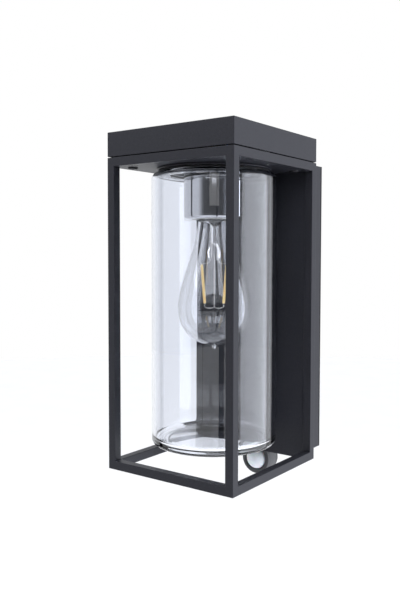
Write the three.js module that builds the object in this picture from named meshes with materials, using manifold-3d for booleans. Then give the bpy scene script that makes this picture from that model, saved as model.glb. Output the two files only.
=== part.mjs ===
// Outdoor wall lantern: an open square frame with a box cap, a glass jar hung round a
// filament lamp, a shallow wall box and a motion sensor below it.
//
// Millimetres, +Z up, the lantern faces -Y and the wall stands at +Y.
// Pieces are drawn on a bench frame: X across from the middle, Y = 0 on the wall,
// Z = 0 on the frame's underside. The last lines move them so that the origin lies on
// the wall face, level with the middle of the wall box.

import * as THREE from 'three';
import { mergeVertices } from 'three/addons/utils/BufferGeometryUtils.js';
import Module from 'manifold-3d';

const wasm = await Module();
wasm.setup();

// ---------------------------------------------------------------- driving dimensions

// Frame of square bars
const FRAME_WIDTH = 131;
const FRAME_DEPTH = 131;
const FRAME_HEIGHT = 268.5;
const TUBE = 7.5;

// Cap and the plate under it
const CAP_HEIGHT = 20.8;
const CAP_GAP = 0.7;
const CAP_WALL = 1.5;
const TOP_PLATE = 2;
const CAP_SCREW_SIDE = 12.9;
const CAP_SCREW_END = 18;
const CAP_BOSS_RADIUS = 4;

// Back plate, wall box and wall bracket
const BACK_PLATE_WALL = 1.5;
const BACK_PLATE_SETBACK = 1.5;
const BOX_DEPTH = 21.5;
const BOX_WIDTH = 120;
const BOX_BOTTOM = 6.5;
const BOX_TOP_DROP = 0.8;
const BOX_WALL = 1.5;
const BOX_SEAL_WIDTH = 3.5;
const BOX_SEAL_THICKNESS = 1.7;
const BRACKET_WIDTH = 60;
const BRACKET_THICKNESS = 1.5;
const BRACKET_TAB_WIDTH = 12;
const BRACKET_TAB_LENGTH = 13;
const WALL_SLOT_LENGTH = 14;
const WALL_SLOT_WIDTH = 5;
const WALL_SLOT_SPACING = 180;
const INLET_RADIUS = 8;
const INLET_DROP = 40;

// Glass jar and the screw collar that holds it
const GLASS_SIDE_GAP = 3;
const GLASS_WALL = 3;
const GLASS_BASE = 5;
const GLASS_BOTTOM = 20;
const GLASS_BASE_ROUND = 5;
const GLASS_SHOULDER_ROUND = 6;
const GLASS_INNER_ROUND = 4;
const NECK_SETBACK = 12.75;
const NECK_WALL = 3.5;
const NECK_HEIGHT = 11;
const SEAL_THICKNESS = 1.5;
const SEAL_WIDTH = 5.5;
const COLLAR_WALL = 3.4;
const COLLAR_WEB = 1.5;
const COLLAR_HEADROOM = 2.5;
const COLLAR_FLANGE = 1.6;
const COLLAR_FLANGE_REACH = 3.6;
const LOCK_RING_WIDTH = 3.3;
const LOCK_RING_HEIGHT = 3;

// Lampholder and the strap that carries it
const CUP_RADIUS = 26.9;
const CUP_WALL = 1.2;
const CUP_DROP = 44;
const CUP_ROUND = 4.5;
const CUP_SHOULDER = 3;
const CUP_MOUTH_RADIUS = 19.8;
const SOCKET_RADIUS = 19.3;
const SOCKET_BORE = 15.2;
const SOCKET_SHELL_WALL = 0.8;
const SOCKET_PROUD = 0.4;
const SOCKET_HEADROOM = 2.5;
const SOCKET_BASE = 13;
const NIPPLE_RADIUS = 5;
const NIPPLE_WALL = 1.4;
const NIPPLE_ENTRY = 5;
const NIPPLE_PROUD = 3;
const NUT_RADIUS = 8.1;
const NUT_HEIGHT = 4;
const STRAP_WIDTH = 16;
const STRAP_THICKNESS = 1.5;
const STRAP_FOOT = 7;

// Screw-cap filament lamp
const LAMP_LENGTH = 142;
const LAMP_RADIUS = 32;
const LAMP_GLASS_WALL = 0.9;
const LAMP_CAP_RADIUS = 13.25;
const LAMP_CAP_WALL = 0.7;
const LAMP_CAP_LENGTH = 25;
const LAMP_SEAT = 2.5;
const NECK_IN_CAP = 6;
const LAMP_TURN = 35 * Math.PI / 180;
const FILAMENT_RADIUS = 1.1;
const FILAMENT_TOP_SPREAD = 11.2;
const FILAMENT_BOTTOM_SPREAD = 8.2;
const FILAMENT_TOP = 66;
const FILAMENT_BOTTOM = 102.5;

// Motion sensor
const SENSOR_RADIUS = 15;
const SENSOR_SETBACK = 3;
const SENSOR_WALL = 1.7;
const SENSOR_DROP = 2.8;
const SENSOR_REAR = 0.5;
const SENSOR_COVER = 1.7;
const BEZEL_DEPTH = 3;
const LENS_RADIUS = 10.15;
const LENS_HEIGHT = 6;
const LENS_WALL = 1;
const LENS_FLANGE = 1.5;
const SENSOR_NECK_MARGIN = 2.05;
const SENSOR_NECK_WALL = 1.2;
const SENSOR_NECK_SEAL_ROOM = 0.75;
const SENSOR_NECK_FLANGE_THICKNESS = 1.5;
const DIAL_RADIUS = 2.8;
const DIAL_PROUD = 0.3;
const DIAL_SLOT_WIDTH = 0.8;
const DIAL_SLOT_DEPTH = 1.2;
const DIAL_SPACING = 10;

// Wiring
const WIRE_RADIUS = 1.2;
const WIRE_SPACING = 0.6;
const WIRE_GAP = 0.35;
const TERMINAL_WIDTH = 34;
const TERMINAL_HEIGHT = 16;
const TERMINAL_DEPTH = 12;

// Named clearances
const SEAT_GAP = 0.2;
const FIT_GAP = 0.3;
const THREAD_GAP = 0.75;

// Facets round a full turn, for pieces that show and for small or hidden ones
const FINE = 40;
const MEDIUM = 26;
const COARSE = 14;

// ------------------------------------------------------------------- derived places

const FRAME_REAR = -BOX_DEPTH;
const FRAME_FRONT = FRAME_REAR - FRAME_DEPTH;
const AXIS_Y = FRAME_REAR - FRAME_DEPTH / 2;
const SIDE = FRAME_WIDTH / 2;
const INNER_SIDE = SIDE - TUBE;
const BOX_SIDE = BOX_WIDTH / 2;
const BOX_TOP = FRAME_HEIGHT - BOX_TOP_DROP;
const BOX_MIDDLE = (BOX_BOTTOM + BOX_TOP) / 2;
const BOX_FLOOR = BOX_BOTTOM + BOX_WALL;
const BOX_ROOF = BOX_TOP - BOX_WALL;

const PLATE_UNDERSIDE = FRAME_HEIGHT - TUBE;
const PLATE_TOP = PLATE_UNDERSIDE + TOP_PLATE;
const CAP_BOTTOM = FRAME_HEIGHT + CAP_GAP;
const CAP_TOP = CAP_BOTTOM + CAP_HEIGHT;
const CAP_CEILING = CAP_TOP - CAP_WALL;

const GLASS_RADIUS = Math.min(INNER_SIDE, FRAME_DEPTH / 2 - TUBE) - GLASS_SIDE_GAP;
const NECK_RADIUS = GLASS_RADIUS - NECK_SETBACK;
const COLLAR_BOTTOM = PLATE_UNDERSIDE - SEAT_GAP - COLLAR_FLANGE;
const GLASS_SHOULDER = COLLAR_BOTTOM - SEAL_THICKNESS - 2 * SEAT_GAP;
const NECK_TOP = GLASS_SHOULDER + NECK_HEIGHT;
const COLLAR_BORE = NECK_RADIUS + THREAD_GAP;
const COLLAR_RADIUS = COLLAR_BORE + COLLAR_WALL;
const COLLAR_TOP = NECK_TOP + COLLAR_HEADROOM + COLLAR_WEB;

const STRAP_UNDERSIDE = COLLAR_TOP + 2 * SEAT_GAP;
const STRAP_TOP = STRAP_UNDERSIDE + STRAP_THICKNESS;
const STRAP_LEG = COLLAR_RADIUS + FIT_GAP + LOCK_RING_WIDTH + 2 * SEAT_GAP;
const STRAP_FOOT_END = STRAP_LEG + STRAP_FOOT;
const CUP_BOTTOM = PLATE_UNDERSIDE - CUP_DROP;
const CUP_TOP = STRAP_UNDERSIDE - SEAT_GAP;
const ENTRY_RADIUS = NIPPLE_RADIUS + FIT_GAP;

const LAMP_TOP = CUP_BOTTOM + LAMP_CAP_LENGTH + LAMP_SEAT;
const SOCKET_BOTTOM = CUP_BOTTOM - SOCKET_PROUD;
const SOCKET_FLOOR = LAMP_TOP + SOCKET_HEADROOM;
const SOCKET_TOP = SOCKET_FLOOR + SOCKET_BASE;
const NIPPLE_BOTTOM = SOCKET_TOP - NIPPLE_ENTRY;
const NIPPLE_TOP = STRAP_TOP + NUT_HEIGHT + NIPPLE_PROUD;

const BACK_PLATE_FRONT = FRAME_REAR - TUBE + BACK_PLATE_SETBACK;
const BOX_INSIDE_FRONT = FRAME_REAR + BOX_WALL;
const BOX_RIM = -BOX_SEAL_THICKNESS - SEAT_GAP;

const SENSOR_Z = BOX_BOTTOM - SENSOR_DROP - SENSOR_RADIUS;
const SENSOR_BACK = -SENSOR_REAR;
const SENSOR_FRONT = FRAME_REAR + SENSOR_SETBACK;
const SENSOR_BODY_BACK = SENSOR_BACK - SENSOR_COVER;
const SENSOR_BODY_FRONT = SENSOR_FRONT + BEZEL_DEPTH;
const SENSOR_MIDDLE = (SENSOR_BODY_FRONT + SENSOR_BODY_BACK) / 2;
const SENSOR_HALF_LENGTH = (SENSOR_BODY_BACK - SENSOR_BODY_FRONT) / 2;
const SENSOR_NECK_RADIUS = SENSOR_HALF_LENGTH - SENSOR_NECK_MARGIN;
const SENSOR_NECK_FLANGE = -SENSOR_MIDDLE - BOX_SEAL_THICKNESS - SENSOR_NECK_SEAL_ROOM;

const WIRE_PITCH = 2 * WIRE_RADIUS + WIRE_SPACING;
const WIRE_HOLE_Z = (PLATE_TOP + BOX_ROOF) / 2;
const TERMINAL_Z = BOX_MIDDLE + 20;

// ------------------------------------------------------------------------ materials

function finish(color, roughness, metalness, opacity = 1) {
  return new THREE.MeshStandardMaterial({
    color, roughness, metalness, opacity, transparent: opacity < 1,
  });
}

const coat = finish(0x3a3a3e, 0.45, 0.3);
const metalCup = finish(0x8f9298, 0.25, 0.9);
const zinc = finish(0xa9abad, 0.4, 0.9);
const brass = finish(0xb89a4e, 0.35, 0.9);
const bright = finish(0xc9c9cc, 0.3, 0.9);
const ceramic = finish(0xe9e8e2, 0.5, 0);
const rubber = finish(0x1c1c1e, 0.85, 0);
const clearGlass = finish(0xe4e6f2, 0.05, 0, 0.3);
const blackPlastic = finish(0x202226, 0.5, 0);
const whitePlastic = finish(0xe6ebee, 0.45, 0);
const board = finish(0x2f6b3c, 0.6, 0);
const phosphor = finish(0xf0c766, 0.6, 0);
const blueWire = finish(0x2b5fa8, 0.5, 0);
const brownWire = finish(0x6b4226, 0.5, 0);
const earthWire = finish(0x8fae2c, 0.5, 0);
const greyWire = finish(0x9a9c9f, 0.5, 0);

// ------------------------------------------------------------------- shape helpers

// A box from its limits on each axis. The corners take the limits exactly, so boxes
// that share a limit meet face to face.
function box([x0, x1], [y0, y1], [z0, z1]) {
  const geometry = new THREE.BoxGeometry(1, 1, 1);
  const place = geometry.attributes.position;
  for (let i = 0; i < place.count; i += 1) {
    place.setXYZ(
      i,
      place.getX(i) < 0 ? x0 : x1,
      place.getY(i) < 0 ? y0 : y1,
      place.getZ(i) < 0 ? z0 : z1,
    );
  }
  return geometry;
}

// A turned piece about +Z. The outline is a list of [radius, height] that runs up the
// outside and down the inside, and closes on itself unless it ends on the axis.
function turned(outline, facets = MEDIUM) {
  const points = outline.map(([radius, height]) => new THREE.Vector2(radius, height));
  const onAxis = points[0].x === 0 && points[points.length - 1].x === 0;
  if (!onAxis) points.push(points[0].clone());
  const geometry = new THREE.LatheGeometry(points, facets);
  geometry.rotateX(Math.PI / 2);
  return geometry;
}

// Points on an arc of an outline, angles in degrees, both ends included.
function arc(radius, height, size, from, to, steps = 3) {
  const points = [];
  for (let i = 0; i <= steps; i += 1) {
    const angle = THREE.MathUtils.degToRad(from + (to - from) * i / steps);
    points.push([radius + size * Math.cos(angle), height + size * Math.sin(angle)]);
  }
  return points;
}

// A plain rod about +Z between two heights.
function rod(radius, bottom, top, facets = COARSE) {
  return turned([[0, bottom], [radius, bottom], [radius, top], [0, top]], facets);
}

// A ring about +Z.
function ring(inner, outer, bottom, top, facets = MEDIUM) {
  return turned([[inner, bottom], [outer, bottom], [outer, top], [inner, top]], facets);
}

// A straight rod between two points.
function link(from, to, radius, facets = 8) {
  const start = new THREE.Vector3(...from);
  const along = new THREE.Vector3(...to).sub(start);
  const geometry = rod(radius, 0, along.length(), facets);
  const turn = new THREE.Quaternion();
  turn.setFromUnitVectors(new THREE.Vector3(0, 0, 1), along.clone().normalize());
  geometry.applyQuaternion(turn);
  geometry.translate(start.x, start.y, start.z);
  return geometry;
}

// An insulated wire along a smooth route.
function wire(route, radius = WIRE_RADIUS, steps = 40) {
  const path = new THREE.CatmullRomCurve3(route.map((point) => new THREE.Vector3(...point)));
  const section = new THREE.Shape();
  section.absarc(0, 0, radius, 0, 2 * Math.PI);
  const options = { steps, extrudePath: path, curveSegments: 4 };
  return new THREE.ExtrudeGeometry(section, options);
}

// Turns a piece drawn about +Z to run along +Y, with its height read along Y.
function alongY(geometry) {
  return geometry.rotateX(-Math.PI / 2);
}

function at(geometry, x, y, z) {
  return geometry.translate(x, y, z);
}

function toSolid(geometry) {
  const bare = geometry.clone();
  bare.deleteAttribute('normal');
  bare.deleteAttribute('uv');
  const merged = mergeVertices(bare, 1e-4);
  const index = merged.index.array;
  const corners = [];
  for (let i = 0; i < index.length; i += 3) {
    const [a, b, c] = [index[i], index[i + 1], index[i + 2]];
    if (a !== b && b !== c && c !== a) corners.push(a, b, c);
  }
  const vertProperties = new Float32Array(merged.attributes.position.array);
  const triVerts = new Uint32Array(corners);
  return new wasm.Manifold(new wasm.Mesh({ numProp: 3, vertProperties, triVerts }));
}

function toGeometry(solid) {
  const mesh = solid.getMesh();
  const geometry = new THREE.BufferGeometry();
  const positions = new Float32Array(mesh.vertProperties);
  geometry.setAttribute('position', new THREE.BufferAttribute(positions, 3));
  geometry.setIndex(new THREE.BufferAttribute(new Uint32Array(mesh.triVerts), 1));
  geometry.computeVertexNormals();
  return geometry;
}

function cut(geometry, ...tools) {
  let solid = toSolid(geometry);
  for (const tool of tools) solid = solid.subtract(toSolid(tool));
  return toGeometry(solid);
}

function join(geometry, ...others) {
  let solid = toSolid(geometry);
  for (const other of others) solid = solid.add(toSolid(other));
  return toGeometry(solid);
}

// -------------------------------------------------------------------------- assembly

const lantern = new THREE.Group();

function add(name, geometry, material, parent = lantern) {
  const mesh = new THREE.Mesh(geometry, material);
  mesh.name = name;
  parent.add(mesh);
  return mesh;
}

// ----------------------------------------------------------------- frame of bars

const LEFT_BAR = [-SIDE, -INNER_SIDE];
const RIGHT_BAR = [INNER_SIDE, SIDE];
const FRONT_BAR = [FRAME_FRONT, FRAME_FRONT + TUBE];
const REAR_BAR = [FRAME_REAR - TUBE, FRAME_REAR];
const BETWEEN_SIDES = [-INNER_SIDE, INNER_SIDE];
const BETWEEN_ENDS = [FRAME_FRONT + TUBE, FRAME_REAR - TUBE];
const BOTTOM_BAR = [0, TUBE];
const TOP_BAR = [PLATE_UNDERSIDE, FRAME_HEIGHT];

for (const [side, across] of [['left', LEFT_BAR], ['right', RIGHT_BAR]]) {
  add(`post_front_${side}`, box(across, FRONT_BAR, [0, FRAME_HEIGHT]), coat);
  add(`post_rear_${side}`, box(across, REAR_BAR, [0, FRAME_HEIGHT]), coat);
  add(`bottom_rail_${side}`, box(across, BETWEEN_ENDS, BOTTOM_BAR), coat);
  add(`top_rail_${side}`, box(across, BETWEEN_ENDS, TOP_BAR), coat);
}
add('bottom_rail_front', box(BETWEEN_SIDES, FRONT_BAR, BOTTOM_BAR), coat);
add('top_rail_front', box(BETWEEN_SIDES, FRONT_BAR, TOP_BAR), coat);

// The lamp wires cross the rear top rail and the wall box through one slot.
const wireSlot = box(
  [-WIRE_PITCH / 2 - WIRE_RADIUS - WIRE_GAP, WIRE_PITCH / 2 + WIRE_RADIUS + WIRE_GAP],
  [FRAME_REAR - TUBE - 1, BOX_INSIDE_FRONT + 1],
  [WIRE_HOLE_Z - WIRE_RADIUS - WIRE_GAP, WIRE_HOLE_Z + WIRE_RADIUS + WIRE_GAP],
);
add('top_rail_rear', cut(box(BETWEEN_SIDES, REAR_BAR, TOP_BAR), wireSlot), coat);

// ------------------------------------------------------- top plate, cap and screws

const capScrews = [];
for (const [side, x] of [['left', -1], ['right', 1]]) {
  for (const [end, y] of [
    ['front', FRAME_FRONT + CAP_SCREW_END],
    ['rear', FRAME_REAR - CAP_SCREW_END],
  ]) {
    capScrews.push({ name: `cap_screw_${end}_${side}`, x: x * (SIDE - CAP_SCREW_SIDE), y });
  }
}

const CAP_SCREW_SHANK = 1.9;
const CAP_SCREW_HEAD = 4.4;
const CAP_SCREW_HEAD_HEIGHT = 1.6;
const CAP_SCREW_LENGTH = 14;
const SCREW_EDGE = 0.8;
const STRAP_SCREW_X = (STRAP_LEG + STRAP_THICKNESS + STRAP_FOOT_END) / 2;
const STRAP_SCREW_SHANK = 1.2;
const STRAP_SCREW_HEAD = 2.3;
const STRAP_SCREW_HEAD_HEIGHT = 1.6;

const plateHoles = capScrews.map(({ x, y }) => (
  at(rod(CAP_SCREW_SHANK + FIT_GAP, PLATE_UNDERSIDE - 1, PLATE_TOP + 1), x, y, 0)
));
for (const x of [-STRAP_SCREW_X, STRAP_SCREW_X]) {
  const hole = rod(STRAP_SCREW_SHANK + FIT_GAP, PLATE_UNDERSIDE - 1, PLATE_TOP + 1);
  plateHoles.push(at(hole, x, AXIS_Y, 0));
}
const collarHole = rod(COLLAR_RADIUS + FIT_GAP, PLATE_UNDERSIDE - 1, PLATE_TOP + 1, FINE);
plateHoles.push(at(collarHole, 0, AXIS_Y, 0));
const plateBlank = box(BETWEEN_SIDES, BETWEEN_ENDS, [PLATE_UNDERSIDE, PLATE_TOP]);
add('top_plate', cut(plateBlank, ...plateHoles), coat);

const BOSS_BOTTOM = PLATE_TOP + SEAT_GAP;
const capHollow = box(
  [-SIDE + CAP_WALL, SIDE - CAP_WALL],
  [FRAME_FRONT + CAP_WALL, FRAME_REAR - CAP_WALL],
  [CAP_BOTTOM - 1, CAP_CEILING],
);
const capBlank = box([-SIDE, SIDE], [FRAME_FRONT, FRAME_REAR], [CAP_BOTTOM, CAP_TOP]);
const capShell = cut(capBlank, capHollow);
const capBosses = capScrews.map(({ x, y }) => (
  at(rod(CAP_BOSS_RADIUS, BOSS_BOTTOM, CAP_CEILING + 0.5), x, y, 0)
));
const screwBore = CAP_SCREW_SHANK + FIT_GAP;
const capBores = capScrews.map(({ x, y }) => (
  at(rod(screwBore, BOSS_BOTTOM - 1, PLATE_UNDERSIDE + CAP_SCREW_LENGTH + 1), x, y, 0)
));
add('cap', cut(join(capShell, ...capBosses), ...capBores), coat);

for (const { name, x, y } of capScrews) {
  const headBottom = PLATE_UNDERSIDE - SEAT_GAP - CAP_SCREW_HEAD_HEIGHT;
  const headTop = PLATE_UNDERSIDE - SEAT_GAP;
  const outline = [
    [0, headBottom],
    [CAP_SCREW_HEAD - SCREW_EDGE, headBottom],
    [CAP_SCREW_HEAD, headBottom + SCREW_EDGE],
    [CAP_SCREW_HEAD, headTop],
    [CAP_SCREW_SHANK, headTop],
    [CAP_SCREW_SHANK, PLATE_UNDERSIDE + CAP_SCREW_LENGTH],
    [0, PLATE_UNDERSIDE + CAP_SCREW_LENGTH],
  ];
  add(name, at(turned(outline, COARSE), x, y, 0), blackPlastic);
}

// ------------------------------------------------------ back plate and wall box

// A folded panel: its face stands between the rear posts and its edges turn back to
// the frame's rear face.
const backPlateBlank = box(BETWEEN_SIDES, [BACK_PLATE_FRONT, FRAME_REAR], [0, PLATE_UNDERSIDE]);
const backPlateHollow = box(
  [-INNER_SIDE + BACK_PLATE_WALL, INNER_SIDE - BACK_PLATE_WALL],
  [BACK_PLATE_FRONT + BACK_PLATE_WALL, FRAME_REAR + 1],
  [BACK_PLATE_WALL, PLATE_UNDERSIDE - BACK_PLATE_WALL],
);
add('back_plate', cut(backPlateBlank, backPlateHollow), coat);

const BOX_SCREW_X = 24;
const BOX_SCREW_Y = -8;
const BOX_SCREW_SHANK = 1.9;
const BOX_SCREW_HEAD = 3.6;
const BOX_SCREW_HEAD_HEIGHT = 2.2;
const BOX_SCREW_REACH = 5;

const wallBoxBlank = box([-BOX_SIDE, BOX_SIDE], [FRAME_REAR, BOX_RIM], [BOX_BOTTOM, BOX_TOP]);
const wallBoxHollow = box(
  [-BOX_SIDE + BOX_WALL, BOX_SIDE - BOX_WALL],
  [BOX_INSIDE_FRONT, BOX_RIM + 1],
  [BOX_FLOOR, BOX_ROOF],
);
const wallBoxHoles = [-BOX_SCREW_X, BOX_SCREW_X].map((x) => (
  at(rod(BOX_SCREW_SHANK + FIT_GAP, BOX_BOTTOM - 1, BOX_FLOOR + 1), x, BOX_SCREW_Y, 0)
));
const neckHole = rod(SENSOR_NECK_RADIUS + FIT_GAP, BOX_BOTTOM - 1, BOX_FLOOR + 1);
wallBoxHoles.push(at(neckHole, 0, SENSOR_MIDDLE, 0));
add('wall_box', cut(wallBoxBlank, wallBoxHollow, ...wallBoxHoles, wireSlot), coat);

const sealBlank = box([-BOX_SIDE, BOX_SIDE], [-BOX_SEAL_THICKNESS, 0], [BOX_BOTTOM, BOX_TOP]);
const sealHollow = box(
  [-BOX_SIDE + BOX_SEAL_WIDTH, BOX_SIDE - BOX_SEAL_WIDTH],
  [-BOX_SEAL_THICKNESS - 1, 1],
  [BOX_BOTTOM + BOX_SEAL_WIDTH, BOX_TOP - BOX_SEAL_WIDTH],
);
add('wall_seal', cut(sealBlank, sealHollow), rubber);

// --------------------------------------------------- wall bracket, screws and inlet

const BRACKET_BOTTOM = BOX_BOTTOM + BOX_SEAL_WIDTH + FIT_GAP;
const BRACKET_TOP = BOX_TOP - BOX_SEAL_WIDTH - FIT_GAP;
const BRACKET_SIDE = BRACKET_WIDTH / 2;
const TAB_RANGE = [-BRACKET_TAB_LENGTH - BRACKET_THICKNESS, 0];

function bracketTab(side, bottom) {
  const inner = side * (BRACKET_SIDE - BRACKET_TAB_WIDTH);
  const outer = side * BRACKET_SIDE;
  const across = [Math.min(inner, outer), Math.max(inner, outer)];
  return box(across, TAB_RANGE, [bottom, bottom + BRACKET_THICKNESS]);
}

function wallSlot(z) {
  const end = WALL_SLOT_WIDTH / 2;
  const reach = WALL_SLOT_LENGTH / 2 - end;
  const outline = new THREE.Shape();
  outline.absarc(reach, 0, end, -Math.PI / 2, Math.PI / 2);
  outline.absarc(-reach, 0, end, Math.PI / 2, 3 * Math.PI / 2);
  const depth = BRACKET_THICKNESS + 2;
  const options = { depth, bevelEnabled: false, curveSegments: 8 };
  const geometry = new THREE.ExtrudeGeometry(outline, options);
  geometry.rotateX(Math.PI / 2);
  return at(geometry, 0, 1, z);
}

const INLET_Z = BOX_MIDDLE - INLET_DROP;
const bracketStrip = box(
  [-BRACKET_SIDE, BRACKET_SIDE],
  [-BRACKET_THICKNESS, 0],
  [BRACKET_BOTTOM, BRACKET_TOP],
);
const bracketTabs = [-1, 1].flatMap((side) => [
  bracketTab(side, BRACKET_BOTTOM),
  bracketTab(side, BRACKET_TOP - BRACKET_THICKNESS),
]);
const tabTop = BRACKET_BOTTOM + BRACKET_THICKNESS;
const tabBores = [-BOX_SCREW_X, BOX_SCREW_X].map((x) => (
  at(rod(BOX_SCREW_SHANK + FIT_GAP, BRACKET_BOTTOM - 1, tabTop + 1), x, BOX_SCREW_Y, 0)
));
const inletRod = alongY(rod(INLET_RADIUS, -1, BRACKET_THICKNESS + 1, 24));
const inletBore = at(inletRod, 0, -BRACKET_THICKNESS, INLET_Z);
add('wall_bracket', cut(
  join(bracketStrip, ...bracketTabs),
  ...tabBores,
  inletBore,
  wallSlot(BOX_MIDDLE - WALL_SLOT_SPACING / 2),
  wallSlot(BOX_MIDDLE + WALL_SLOT_SPACING / 2),
), zinc);

for (const [side, x] of [['left', -BOX_SCREW_X], ['right', BOX_SCREW_X]]) {
  const headTop = BOX_BOTTOM - SEAT_GAP;
  const headBottom = headTop - BOX_SCREW_HEAD_HEIGHT;
  const shankTop = BRACKET_BOTTOM + BOX_SCREW_REACH;
  const outline = [
    [0, headBottom],
    [BOX_SCREW_HEAD - SCREW_EDGE, headBottom],
    [BOX_SCREW_HEAD, headBottom + SCREW_EDGE],
    [BOX_SCREW_HEAD, headTop],
    [BOX_SCREW_SHANK, headTop],
    [BOX_SCREW_SHANK, shankTop],
    [0, shankTop],
  ];
  add(`box_screw_${side}`, at(turned(outline, COARSE), x, BOX_SCREW_Y, 0), bright);
}

// The inlet grommet grips the edge of the bracket's hole, on the room side of the
// wall face.
const GROMMET_LIP = 2;
const GROMMET_LIP_THICKNESS = 1.3;
const GROMMET_CONE = 2.5;
const GROMMET_BORE = INLET_RADIUS - 3;
const grommetSeat = BRACKET_THICKNESS + SEAT_GAP;
const grommetLipTop = grommetSeat + GROMMET_LIP_THICKNESS;
const grommetOutline = [
  [GROMMET_BORE, 0],
  [INLET_RADIUS - FIT_GAP, 0],
  [INLET_RADIUS - FIT_GAP, grommetSeat],
  [INLET_RADIUS + GROMMET_LIP, grommetSeat],
  [INLET_RADIUS + GROMMET_LIP, grommetLipTop],
  [GROMMET_BORE, grommetLipTop + GROMMET_CONE],
];
const grommet = turned(grommetOutline, 24);
grommet.rotateX(Math.PI / 2);
add('inlet_grommet', at(grommet, 0, 0, INLET_Z), rubber);

// ------------------------------------------------------------- glass jar and collar

const shade = new THREE.Group();
shade.position.set(0, AXIS_Y, 0);
lantern.add(shade);

const glassInner = GLASS_RADIUS - GLASS_WALL;
const innerShoulderRound = GLASS_SHOULDER_ROUND - GLASS_WALL;
const innerBaseRound = GLASS_INNER_ROUND;
const GLASS_FLOOR = GLASS_BOTTOM + GLASS_BASE;
const baseRoundZ = GLASS_BOTTOM + GLASS_BASE_ROUND;
const shoulderRoundZ = GLASS_SHOULDER - GLASS_SHOULDER_ROUND;
const shoulderRoundR = GLASS_RADIUS - GLASS_SHOULDER_ROUND;
const jarOutline = [
  [0, GLASS_BOTTOM],
  ...arc(GLASS_RADIUS - GLASS_BASE_ROUND, baseRoundZ, GLASS_BASE_ROUND, -90, 0),
  ...arc(shoulderRoundR, shoulderRoundZ, GLASS_SHOULDER_ROUND, 0, 90),
  [NECK_RADIUS, GLASS_SHOULDER],
  [NECK_RADIUS, NECK_TOP],
  [NECK_RADIUS - NECK_WALL, NECK_TOP],
  [NECK_RADIUS - NECK_WALL, GLASS_SHOULDER - GLASS_WALL],
  ...arc(shoulderRoundR, shoulderRoundZ, innerShoulderRound, 90, 0),
  ...arc(glassInner - innerBaseRound, GLASS_FLOOR + innerBaseRound, innerBaseRound, 0, -90),
  [0, GLASS_FLOOR],
];
add('glass_jar', turned(jarOutline, FINE), clearGlass, shade);

const sealInner = NECK_RADIUS + THREAD_GAP;
const sealBottom = GLASS_SHOULDER + SEAT_GAP;
const sealTop = sealBottom + SEAL_THICKNESS;
const jarSeal = ring(sealInner, sealInner + SEAL_WIDTH, sealBottom, sealTop, FINE);
add('jar_seal', jarSeal, rubber, shade);

const collarLip = NECK_RADIUS - NECK_WALL + 1;
const collarFlange = COLLAR_RADIUS + COLLAR_FLANGE_REACH;
const collarOutline = [
  [COLLAR_BORE, COLLAR_BOTTOM],
  [collarFlange, COLLAR_BOTTOM],
  [collarFlange, COLLAR_BOTTOM + COLLAR_FLANGE],
  [COLLAR_RADIUS, COLLAR_BOTTOM + COLLAR_FLANGE],
  [COLLAR_RADIUS, COLLAR_TOP],
  [collarLip, COLLAR_TOP],
  [collarLip, COLLAR_TOP - COLLAR_WEB],
  [COLLAR_BORE, COLLAR_TOP - COLLAR_WEB],
];
add('jar_collar', turned(collarOutline, FINE), coat, shade);

const lockRing = ring(
  COLLAR_RADIUS + FIT_GAP,
  COLLAR_RADIUS + FIT_GAP + LOCK_RING_WIDTH,
  PLATE_TOP + SEAT_GAP,
  PLATE_TOP + SEAT_GAP + LOCK_RING_HEIGHT,
  FINE,
);
add('collar_lock_ring', lockRing, zinc, shade);

// ------------------------------------------------------------------------ lampholder

const holder = new THREE.Group();
holder.position.set(0, AXIS_Y, 0);
lantern.add(holder);

const cupShoulderR = CUP_RADIUS - CUP_SHOULDER;
const cupShoulderZ = CUP_TOP - CUP_SHOULDER;
const cupRoundR = CUP_RADIUS - CUP_ROUND;
const cupRoundZ = CUP_BOTTOM + CUP_ROUND;
const cupOutline = [
  [CUP_MOUTH_RADIUS, CUP_BOTTOM],
  ...arc(cupRoundR, cupRoundZ, CUP_ROUND, -90, 0),
  ...arc(cupShoulderR, cupShoulderZ, CUP_SHOULDER, 0, 90),
  [ENTRY_RADIUS, CUP_TOP],
  [ENTRY_RADIUS, CUP_TOP - CUP_WALL],
  ...arc(cupShoulderR, cupShoulderZ, CUP_SHOULDER - CUP_WALL, 90, 0),
  ...arc(cupRoundR, cupRoundZ, CUP_ROUND - CUP_WALL, 0, -90),
  [CUP_MOUTH_RADIUS, CUP_BOTTOM + CUP_WALL],
];
add('lampholder_cup', turned(cupOutline, MEDIUM), metalCup, holder);

const CONTACT_RIVET = 2.2;
const socketOutline = [
  [SOCKET_BORE, SOCKET_BOTTOM],
  [SOCKET_RADIUS, SOCKET_BOTTOM],
  [SOCKET_RADIUS, SOCKET_TOP],
  [ENTRY_RADIUS, SOCKET_TOP],
  [ENTRY_RADIUS, NIPPLE_BOTTOM - 1],
  [CONTACT_RIVET + FIT_GAP, NIPPLE_BOTTOM - 1],
  [CONTACT_RIVET + FIT_GAP, SOCKET_FLOOR],
  [SOCKET_BORE, SOCKET_FLOOR],
];
add('socket_body', turned(socketOutline), ceramic, holder);

const shellInner = LAMP_CAP_RADIUS + FIT_GAP;
const shellBottom = SOCKET_BOTTOM + 4;
const shellTop = SOCKET_FLOOR - 6;
const shellOuter = shellInner + SOCKET_SHELL_WALL;
add('socket_shell', ring(shellInner, shellOuter, shellBottom, shellTop), brass, holder);

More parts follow.
